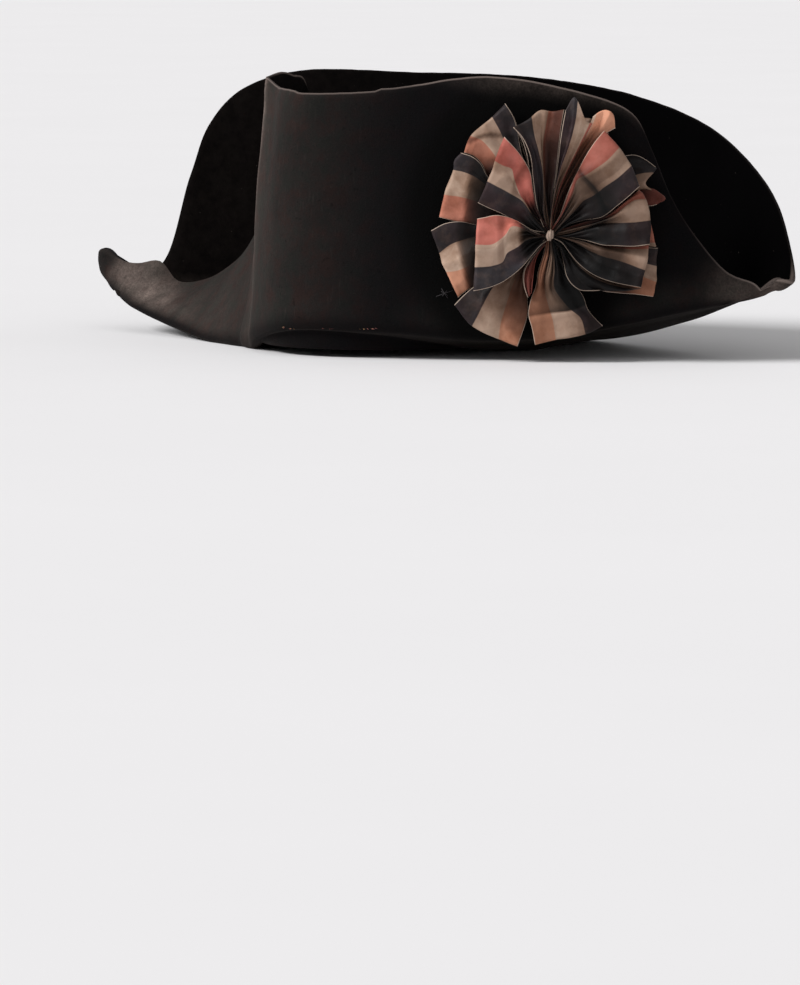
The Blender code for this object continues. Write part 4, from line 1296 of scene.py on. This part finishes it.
class PetalForm:
    """One loop of ribbon: out from the gather, round its outer fold and back beneath itself."""

    # What each loop draws from: its pleats for a full width, where its two creases run and how far they
    # drift across it, the heights of its creases and edges, the painted light and shade of the facets
    # between them, and where it bends and how far, in millimetres.
    PLEATS = (2.5, 3.0, 3.5)
    FIRST_CREASE = (0.24, 0.42)
    SECOND_CREASE = (0.58, 0.76)
    DRIFT = (-0.12, 0.12)
    HEIGHTS = (0.4, 1.0)
    FACET_PAINTED_LIGHT = (0.82, 1.10)
    BEND_PLACES = (0.5, 0.8)
    BENDS = (-1.8, 1.8)
    # A bend reaches this share of the loop's length to each side, and two creases leave three facets.
    BEND_REACH = 0.28
    FACETS = 3
    # A loop this wide, in millimetres, has creases of full depth. They run shallower outwards by this share.
    FULL_WIDTH = 36
    SHALLOWER = 0.35
    # Shares of a loop's length between which its creases, pleats and wrinkles begin, and its pleats'
    # shadows run out.
    CREASES_START = (0.0, 0.15)
    PLEATS_START = (0.0, 0.16)
    WRINKLES_START = (0.1, 0.45)
    SHADOWS = (0.15, 0.75)
    SHADOW_DARK = 0.6
    # Wrinkles to the millimetre, broad and small, and the small ones' share of the depth.
    BROAD_WRINKLES = 0.075
    SMALL_WRINKLES = 0.19
    SMALL_SHARE = 0.45
    # The under side: how much narrower it is half way along, where it falls clear of the upper side, and
    # how far below that it lies at the knot, in millimetres.
    UNDER_NARROWER = 0.16
    UNDER_CLEAR = (0.0, 0.3)
    UNDER_START = 0.4
    # The middle of each stripe, as a share of the ribbon's width.
    STRIPES = (1 / 6, 1 / 2, 5 / 6)

    def __init__(self, petal, ribbon, seed):
        self.petal = petal
        draw = random.Random(seed)
        self.phase = draw.random()
        self.first = petal.lines[0][0]
        self.span = petal.lines[-1][0] - self.first
        self.pleats = draw.choice(self.PLEATS) * max(0.5, abs(self.span))
        self.gathers = GATHERS * self.pleats
        self.shift = Vector((draw.uniform(0, 50), draw.uniform(0, 50), draw.uniform(0, 50)))
        self.creases = [0.0, draw.uniform(*self.FIRST_CREASE), draw.uniform(*self.SECOND_CREASE), 1.0]
        self.drift = [0.0, draw.uniform(*self.DRIFT), draw.uniform(*self.DRIFT), 0.0]
        side = draw.choice((-1, 1))
        self.heights = [side * (-1) ** k * draw.uniform(*self.HEIGHTS) for k in range(self.FACETS + 1)]
        self.shades = [draw.uniform(*self.FACET_PAINTED_LIGHT) for _ in range(self.FACETS)]
        self.bend_at, self.bend = draw.uniform(*self.BEND_PLACES), draw.uniform(*self.BENDS)
        self.crease_depth = ribbon.crease / MILLI
        self.depth = ribbon.pleat_depth / MILLI
        self.crumple = ribbon.crumple / MILLI
        self.places = [(line[0] - self.first) / self.span for line in petal.lines]
        gather = ribbon.gather / MILLI
        self.curves = [self.curve(line[1:], share, gather) for line, share in zip(petal.lines, self.places)]

    def curve(self, values, share, gather):
        """One line of the ribbon as evenly spaced points from the gather to where its fold begins."""
        points = [Vector((x, y, 0)) for x, y in zip(values[::2], values[1::2])][::-1]
        first, last = self.petal.lines[0], self.petal.lines[-1]
        side = (Vector(last[-2:]) - Vector(first[-2:])).normalized()
        heart = Vector((GATHER_X, GATHER_Y, 0))
        points.insert(0, heart + Vector((*side, 0)) * gather * (share - 0.5))
        places = [0.0]
        for before, after in zip(points, points[1:]):
            places.append(places[-1] + (after - before).length)
        reach = places[-1] - self.petal.fold
        return [through(places, points, reach * n / TOP_STATIONS) for n in range(TOP_STATIONS + 1)]

    def taken_up(self, full, across, drawn):
        """Height of the fine gathers that hold the width of ribbon left over by the loop's own pleats."""
        spare = full**2 - across**2 - (4 * self.pleats * drawn) ** 2
        return math.sqrt(max(0.0, spare)) / (4 * self.gathers)

    def outer_lift(self, u):
        petal = self.petal
        spread = petal.lift_a * (1 - u) * (1 - 2 * u) + petal.lift_m * 4 * u * (1 - u)
        return spread + petal.lift_b * u * (2 * u - 1)

    def facet(self, u, t):
        """Which facet between two creases a place lies in, and how far across the facet."""
        spots = [place + drift * t for place, drift in zip(self.creases, self.drift)]
        k = min(bisect_right(spots, u), self.FACETS)
        return k, (u - spots[k - 1]) / (spots[k] - spots[k - 1])

    def creased(self, u, t, width):
        """The height of the flat facets between the creases, and of the loop's bend."""
        k, share = self.facet(u, t)
        height = self.heights[k - 1] * (1 - share) + self.heights[k] * share
        depth = self.crease_depth * min(1.0, width / self.FULL_WIDTH) * smooth_step(*self.CREASES_START, t)
        bent = self.bend * max(0.0, 1 - abs(t - self.bend_at) / self.BEND_REACH)
        return height * depth * (1 - self.SHALLOWER * t) + bent

    def point_at(self, u, n, under):
        """A point of the loop's upper or under side, at the share u across it and station n along it."""
        petal, t = self.petal, n / TOP_STATIONS
        spots = [curve[n] for curve in self.curves]
        across = spots[-1] - spots[0]
        hump = 4 * t * (1 - t)
        at = 0.5 + (u - 0.5) * (1 - self.UNDER_NARROWER * hump) if under else u
        point = through(self.places, spots, at)
        rounded = 1 - (2 * u - 1) ** 2
        lift = petal.base + (self.outer_lift(u) - petal.base) * t
        slack = max(0.0, 1 - across.length / (RIBBON_WIDTH * abs(self.span)))
        wave = math.sin(math.tau * (self.pleats * u + self.phase))
        deep = self.depth * slack**1.3 * smooth_step(*self.PLEATS_START, t)
        drawn = deep * wave
        fine = math.sin(math.tau * (self.gathers * u + self.phase))
        ripple = noise.noise(point * self.BROAD_WRINKLES + self.shift)
        ripple += self.SMALL_SHARE * noise.noise(point * self.SMALL_WRINKLES + self.shift)
        ripple = ripple * self.crumple * smooth_step(*self.WRINKLES_START, t)
        ripple += self.creased(at, t, across.length)
        if under:
            gape = petal.gape_a * max(0.0, 1 - 2 * u) ** 2 - petal.gape_b * max(0.0, 2 * u - 1) ** 2
            point -= across.normalized() * gape * hump
            drop = 2 * petal.fold + 0.5 * petal.puff * hump
            drop = drop * smooth_step(*self.UNDER_CLEAR, t) + self.UNDER_START
            held = self.taken_up(RIBBON_WIDTH, across.length, 0.5 * deep)
            held *= 1 - smooth_step(*GATHERED_UNDER, t)
            point.z = max(LEAST_LIFT + held, lift + 0.5 * (drawn + ripple) - drop) + held * fine
            return point
        held = self.taken_up(RIBBON_WIDTH * abs(self.span), across.length, deep)
        held *= 1 - smooth_step(*GATHERED, t)
        point.z = lift + drawn + held * fine + ripple + petal.puff * hump * (0.4 + 0.6 * rounded)
        return point

    def tone(self, u, n):
        """The painted light and shade on the ribbon at the share u across it and station n along it, with
        painted shadow in the pleats' valleys.
        """
        c, t = self.first + self.span * u, n / TOP_STATIONS
        band = between(*zip(*self.petal.bands), t + self.petal.slant * (c - 0.5))
        band **= between(self.STRIPES, self.petal.depths, c)
        bright = between(self.STRIPES, self.petal.tones, c) * band * self.shades[self.facet(u, t)[0] - 1]
        slack = 1 - smooth_step(*self.SHADOWS, t)
        valley = max(0.0, -math.sin(math.tau * (self.pleats * u + self.phase)))
        return bright * (1 - self.SHADOW_DARK * slack * valley)

    def loop(self, u):
        """The points of one lengthwise line of the ribbon, with how far along the ribbon each lies."""
        upper = [self.point_at(u, n, False) for n in range(TOP_STATIONS + 1)]
        lower = [self.point_at(u, n, True) for n in range(TOP_STATIONS, -1, -UNDER_STRIDE)]
        outward = (upper[-1] - upper[-2]) * Vector((1, 1, 0))
        middle, half = (upper[-1] + lower[0]) / 2, (upper[-1] - lower[0]) / 2
        points = upper
        for n in range(1, FOLD_STATIONS):
            angle = math.pi * n / FOLD_STATIONS
            bulge = outward.normalized() * half.length * math.sin(angle)
            points.append(middle + half * math.cos(angle) + bulge)
        points += lower
        run, along = 0.0, [0.0]
        for before, after in zip(points, points[1:]):
            run += (after - before).length / RIBBON_WIDTH
            along.append(run)
        stations = list(range(TOP_STATIONS + 1)) + [TOP_STATIONS] * (FOLD_STATIONS - 1)
        stations += range(TOP_STATIONS, -1, -UNDER_STRIDE)
        return points, along, [self.tone(u, n) for n in stations]


def add_petal(bm, form, place):
    """Adds one loop to the bmesh, with a UV map in ribbon widths across and along the ribbon."""
    uv = bm.loops.layers.uv["ribbon"]
    fade, tone = bm.verts.layers.float["fade"], bm.verts.layers.float["tone"]
    loops = [form.loop(n / ACROSS) for n in range(ACROSS + 1)]
    last = len(loops[0][0]) - 1
    grid = bmesh.ops.create_grid(bm, x_segments=ACROSS, y_segments=last, size=0.5)
    spots = {}
    for vert in grid["verts"]:
        u, v = vert.co.x + 0.5, vert.co.y + 0.5
        points, along, tones = loops[round(u * ACROSS)]
        number = round(v * last)
        spots[vert] = (form.first + form.span * u, along[number])
        vert[fade] = form.petal.fade
        vert[tone] = tones[number]
        vert.co = place @ points[number]
    for face in {face for vert in grid["verts"] for face in vert.link_faces}:
        for corner in face.loops:
            corner[uv].uv = spots[corner.vert]


def ribbon_silk(ribbon):
    """Soft striped silk: dark, cream and salmon, with light selvages, stains and a fine rib, darkened and
    lightened by the painted light and shade of each loop.
    """
    silk = Recipe("striped_silk")
    place = silk.object_place()
    plain = silk.ribbon_place()
    parts = silk.tree.nodes.new("ShaderNodeSeparateXYZ")
    silk.put(parts, Vector=plain)
    wander = silk.combine("SUBTRACT", silk.noise(place, 240.0, 3.0), 0.5)
    across = silk.combine("ADD", parts.outputs["X"], silk.times(wander, 0.007))
    last = silk.mix(silk.attribute("fade"), tuple(ribbon.salmon), tuple(ribbon.tan))
    browned = silk.ramp(silk.noise(place, 34.0, 2.0), (0.42, 0.0), (0.58, 1.0))
    dark = silk.mix(browned, tuple(ribbon.dark), tuple(ribbon.brown))
    pale = silk.ramp(across, (0.326, 0.0), (0.334, 1.0))
    warm = silk.ramp(across, (0.660, 0.0), (0.669, 1.0))
    base = silk.mix(warm, silk.mix(pale, dark, tuple(ribbon.cream)), last)
    stain = silk.ramp(silk.noise(place, 60.0, 6.0, 0.6), (0.34, (0.66, 0.58, 0.52)), (0.56, 1.05))
    base = silk.tinted(base, stain)
    bloom = silk.ramp(silk.noise(place, 150.0, 4.0), (0.50, 0.0), (0.78, 0.16))
    base = silk.mix(bloom, base, (0.30, 0.19, 0.14))
    # Painted light and shade from each loop, warmer where the painted shade is deepest.
    tone = silk.attribute("tone")
    base = silk.tinted(base, tone)
    base = silk.tinted(base, silk.ramp(tone, (0.15, (1.10, 0.93, 0.84)), (1.0, 1.0)))
    off_middle = silk.combine("ABSOLUTE", silk.combine("SUBTRACT", parts.outputs["X"], 0.5), 0.0)
    off_middle = silk.times(silk.combine("SUBTRACT", off_middle, 0.45), 10.0)
    rim = silk.ramp(off_middle, (0.40, 0.0), (0.44, 0.85))
    # The selvage is darkened by the same painted shade.
    selvage = silk.tinted(tuple(ribbon.selvage), silk.ramp(tone, (0.0, 0.5), (0.6, 1.0)))
    base = silk.mix(rim, base, selvage)
    ribs = silk.noise(silk.ribbon_place((6.0, 110.0, 1.0)), 1.0, 2.0)
    threads = silk.noise(silk.ribbon_place((150.0, 5.0, 1.0)), 1.0, 2.0)
    weave = silk.bump(silk.combine("ADD", ribs, threads), 0.00012, 0.7)
    crumple = silk.bump(silk.facets(place, 62.0), 0.0040, 0.42, weave)
    crumple = silk.bump(silk.facets(silk.object_place(turn=(1.1, 0.7, 0.3)), 125.0), 0.0016, 0.35, crumple)
    return silk.finish(
        Base_Color=base,
        Roughness=0.55,
        Normal=crumple,
        Sheen_Weight=0.03,
        Sheen_Roughness=0.4,
        Specular_IOR_Level=0.16,
    )


def make_loops(context, name, petals, node, seed):
    """A gathered layer of the cockade."""
    ribbon = context.scene.bicorne_ribbon
    bm = bmesh.new()
    bm.loops.layers.uv.new("ribbon")
    bm.verts.layers.float.new("fade")
    bm.verts.layers.float.new("tone")
    place = seat_matrix()
    for number, petal in enumerate(petals):
        add_petal(bm, PetalForm(petal, ribbon, seed + number), place)
    finish = bpy.data.materials.get("striped_silk") or ribbon_silk(ribbon)
    loops = stage_piece(name, bm, [finish])
    wall = loops.modifiers.new("ribbon thickness", "SOLIDIFY")
    wall.thickness = ribbon.thickness
    wall.offset = 0.0
    keep_evaluated(loops)
    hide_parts(node)
    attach(loops, BODY)


class BICORNE_OT_back_loops(bpy.types.Operator):
    """Makes the loops of ribbon that lie against the flap"""

    bl_idname = "bicorne.back_loops"
    bl_label = "Back loops"

    def execute(self, context):
        node = "cockade_back_loops"
        make_loops(context, "ribbon_back", BACK_PETALS, node, BACK_SEED)
        return {"FINISHED"}


class BICORNE_OT_front_loops(bpy.types.Operator):
    """Makes the loops of ribbon in front"""

    bl_idname = "bicorne.front_loops"
    bl_label = "Front loops"

    def execute(self, context):
        node = "cockade_front_loops"
        make_loops(context, "ribbon_front", FRONT_PETALS, node, FRONT_SEED)
        return {"FINISHED"}


class BICORNE_OT_knot(bpy.types.Operator):
    """Makes the wrapped knot in the middle"""

    bl_idname = "bicorne.knot"
    bl_label = "Knot"

    def execute(self, context):
        ribbon = context.scene.bicorne_ribbon
        bm = bmesh.new()
        ball = bmesh.ops.create_uvsphere(bm, u_segments=48, v_segments=32, radius=1.0)
        for vert in ball["verts"]:
            vert.co *= 1 + WRAP_SWELL * math.sin(WRAP_RUN * (vert.co.x + WRAP_SLANT * vert.co.y))
        size = Matrix.Diagonal((*KNOT_RADII, 1))
        lift = Matrix.Translation((GATHER_X, GATHER_Y, KNOT_LIFT))
        bm.transform(seat_matrix() @ lift @ Matrix.Rotation(KNOT_TURN, 4, "Z") @ size)
        silk = Recipe("knot_silk")
        place = silk.object_place()
        shade = silk.ramp(silk.noise(place, 420.0, 3.0), (0.3, 0.55), (0.7, 0.85))
        base = silk.tinted(tuple(ribbon.cream), shade)
        rough = silk.bump(silk.noise(place, 1500.0), 0.0002, 0.5)
        finish = silk.finish(Base_Color=base, Roughness=0.6, Normal=rough, Sheen_Weight=0.1)
        knot = stage_piece("knot", bm, [finish])
        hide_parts("cockade_knot")
        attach(knot, BODY)
        return {"FINISHED"}


def stitch_material(name, colour):
    """A worn thread of this colour."""
    thread = Recipe(name)
    shade = thread.ramp(thread.noise(thread.object_place(), 2500.0), (0.3, 0.5), (0.7, 1.3))
    return thread.finish(Base_Color=thread.tinted(colour, shade), Roughness=0.8)


class BICORNE_OT_threads(bpy.types.Operator):
    """Makes the ends of thread left along the turned-up front and beside the cockade"""

    bl_idname = "bicorne.threads"
    bl_label = "Threads"

    def execute(self, context):
        bm = bmesh.new()
        draw = random.Random(THREAD_SEED)
        row = [Vector(point) for point in THREAD_ROW]
        for number in range(THREADS):
            t = number / (THREADS - 1) * (len(row) - 1)
            piece = int(min(t, len(row) - 2))
            spot = row[piece].lerp(row[piece + 1], t - piece)
            spot += Vector((draw.uniform(-1, 1), draw.uniform(-0.2, 0.2), draw.uniform(-0.9, 1.3))) * MILLI
            finish = number % (len(THREAD_COLOURS) - 1)
            self.strand(bm, spot, draw.uniform(*THREAD_LENGTHS), draw.uniform(*THREAD_TURNS), finish)
        for turn, length in CROSSED:
            self.strand(bm, Vector(THREAD_CROSS), length, turn, len(THREAD_COLOURS) - 1)
        threads = stage_piece("threads", bm, [stitch_material(*pair) for pair in THREAD_COLOURS])
        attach(threads, BODY)
        return {"FINISHED"}

    def strand(self, bm, spot, length, turn, finish):
        """One end of thread, lying against the felt."""
        start, end = THREAD_RADII
        made = bmesh.ops.create_cone(
            bm, cap_ends=True, segments=6, radius1=start, radius2=end, depth=length * MILLI
        )
        out = Vector(FRONT_OUT if spot.x < SEAT_START else SEAT_OUT)
        across = Vector((0, 0, 1)).cross(out.normalized())
        lay = across * math.cos(turn) + Vector((0, 0, 1)) * math.sin(turn)
        turned = lay.to_track_quat("Z", "Y").to_matrix().to_4x4()
        bmesh.ops.transform(bm, matrix=Matrix.Translation(spot) @ turned, verts=made["verts"])
        for face in {face for vert in made["verts"] for face in vert.link_faces}:
            face.material_index = finish


class BICORNE_OT_stage(bpy.types.Operator):
    """Makes the floor, the lights and the camera"""

    bl_idname = "bicorne.stage"
    bl_label = "Stage"

    def execute(self, context):
        stage = context.scene.bicorne_stage
        bm = bmesh.new()
        bmesh.ops.create_circle(bm, cap_ends=True, segments=96, radius=FLOOR_RADIUS)
        paper = Recipe("pale_floor")
        place = paper.object_place()
        shade = paper.ramp(paper.noise(place, 3.0), (0.3, 0.985), (0.7, 1.0))
        base = paper.tinted(tuple(stage.floor), shade)
        finish = paper.finish(Base_Color=base, Roughness=0.9, Specular_IOR_Level=0.1)
        floor = stage_piece("floor", bm, [finish], smooth=False)
        world = bpy.data.worlds.new("studio")
        world.use_nodes = True
        sky = world.node_tree.nodes["Background"]
        sky.inputs["Color"].default_value = (1.0, 1.0, 1.0, 1.0)
        sky.inputs["Strength"].default_value = stage.sky
        context.scene.world = world
        context.scene.view_settings.view_transform = "Standard"
        self.light("key", stage.key, KEY_FROM, KEY_SPREAD)
        self.light("fill", stage.fill, FILL_FROM, FILL_SPREAD)
        self.camera(context, stage)
        return {"FINISHED"}

    def light(self, name, strength, towards, spread):
        lamp = bpy.data.lights.new(name, "SUN")
        lamp.energy = strength
        lamp.angle = math.radians(spread)
        obj = bpy.data.objects.new(name, lamp)
        obj.rotation_euler = Vector(towards).to_track_quat("Z", "Y").to_euler()
        bpy.context.scene.collection.objects.link(obj)

    def camera(self, context, stage):
        turn, rise = math.radians(stage.azimuth), math.radians(stage.elevation)
        level = math.cos(rise)
        towards = Vector((math.sin(turn) * level, -math.cos(turn) * level, math.sin(rise)))
        lens = bpy.data.cameras.new("camera")
        lens.lens = LENS
        lens.sensor_width = FILM_WIDTH
        lens.clip_end = FARTHEST
        obj = bpy.data.objects.new("camera", lens)
        obj.location = Vector(CAMERA_TARGET) + towards * stage.distance
        down, aside = math.radians(CAMERA_DOWN), math.radians(CAMERA_ASIDE)
        aim = Matrix.Rotation(turn + aside, 3, "Z") @ Matrix.Rotation(math.pi / 2 - rise - down, 3, "X")
        obj.rotation_euler = aim.to_euler()
        context.scene.collection.objects.link(obj)
        context.scene.camera = obj


class BICORNE_PT_panel(bpy.types.Panel):
    """Lists the pieces of the hat, with their sizes and colours"""

    bl_idname = "BICORNE_PT_panel"
    bl_label = "Bicorne"
    bl_space_type = "VIEW_3D"
    bl_region_type = "UI"
    bl_category = "Bicorne"

    def draw(self, context):
        for operator in OPERATORS:
            self.layout.operator(operator.bl_idname)
        for name in SETTINGS:
            group = getattr(context.scene, name)
            for key in group.__annotations__:
                self.layout.prop(group, key)


OPERATORS = (
    BICORNE_OT_felt,
    BICORNE_OT_back_loops,
    BICORNE_OT_front_loops,
    BICORNE_OT_knot,
    BICORNE_OT_threads,
    BICORNE_OT_stage,
)
SETTINGS = {
    "bicorne_felt": BicorneFelt,
    "bicorne_felt_colours": BicorneFeltColours,
    "bicorne_ribbon": BicorneRibbon,
    "bicorne_stage": BicorneStage,
}


def register():
    for group in SETTINGS.values():
        bpy.utils.register_class(group)
    for operator in OPERATORS:
        bpy.utils.register_class(operator)
    bpy.utils.register_class(BICORNE_PT_panel)
    for name, group in SETTINGS.items():
        setattr(bpy.types.Scene, name, bpy.props.PointerProperty(type=group))


def unregister():
    for name in SETTINGS:
        delattr(bpy.types.Scene, name)
    bpy.utils.unregister_class(BICORNE_PT_panel)
    for operator in reversed(OPERATORS):
        bpy.utils.unregister_class(operator)
    for group in SETTINGS.values():
        bpy.utils.unregister_class(group)


def main():
    register()
    bpy.ops.bicorne.felt()
    bpy.ops.bicorne.back_loops()
    bpy.ops.bicorne.front_loops()
    bpy.ops.bicorne.knot()
    bpy.ops.bicorne.threads()
    bpy.ops.bicorne.stage()


if __name__ == "__main__":
    main()
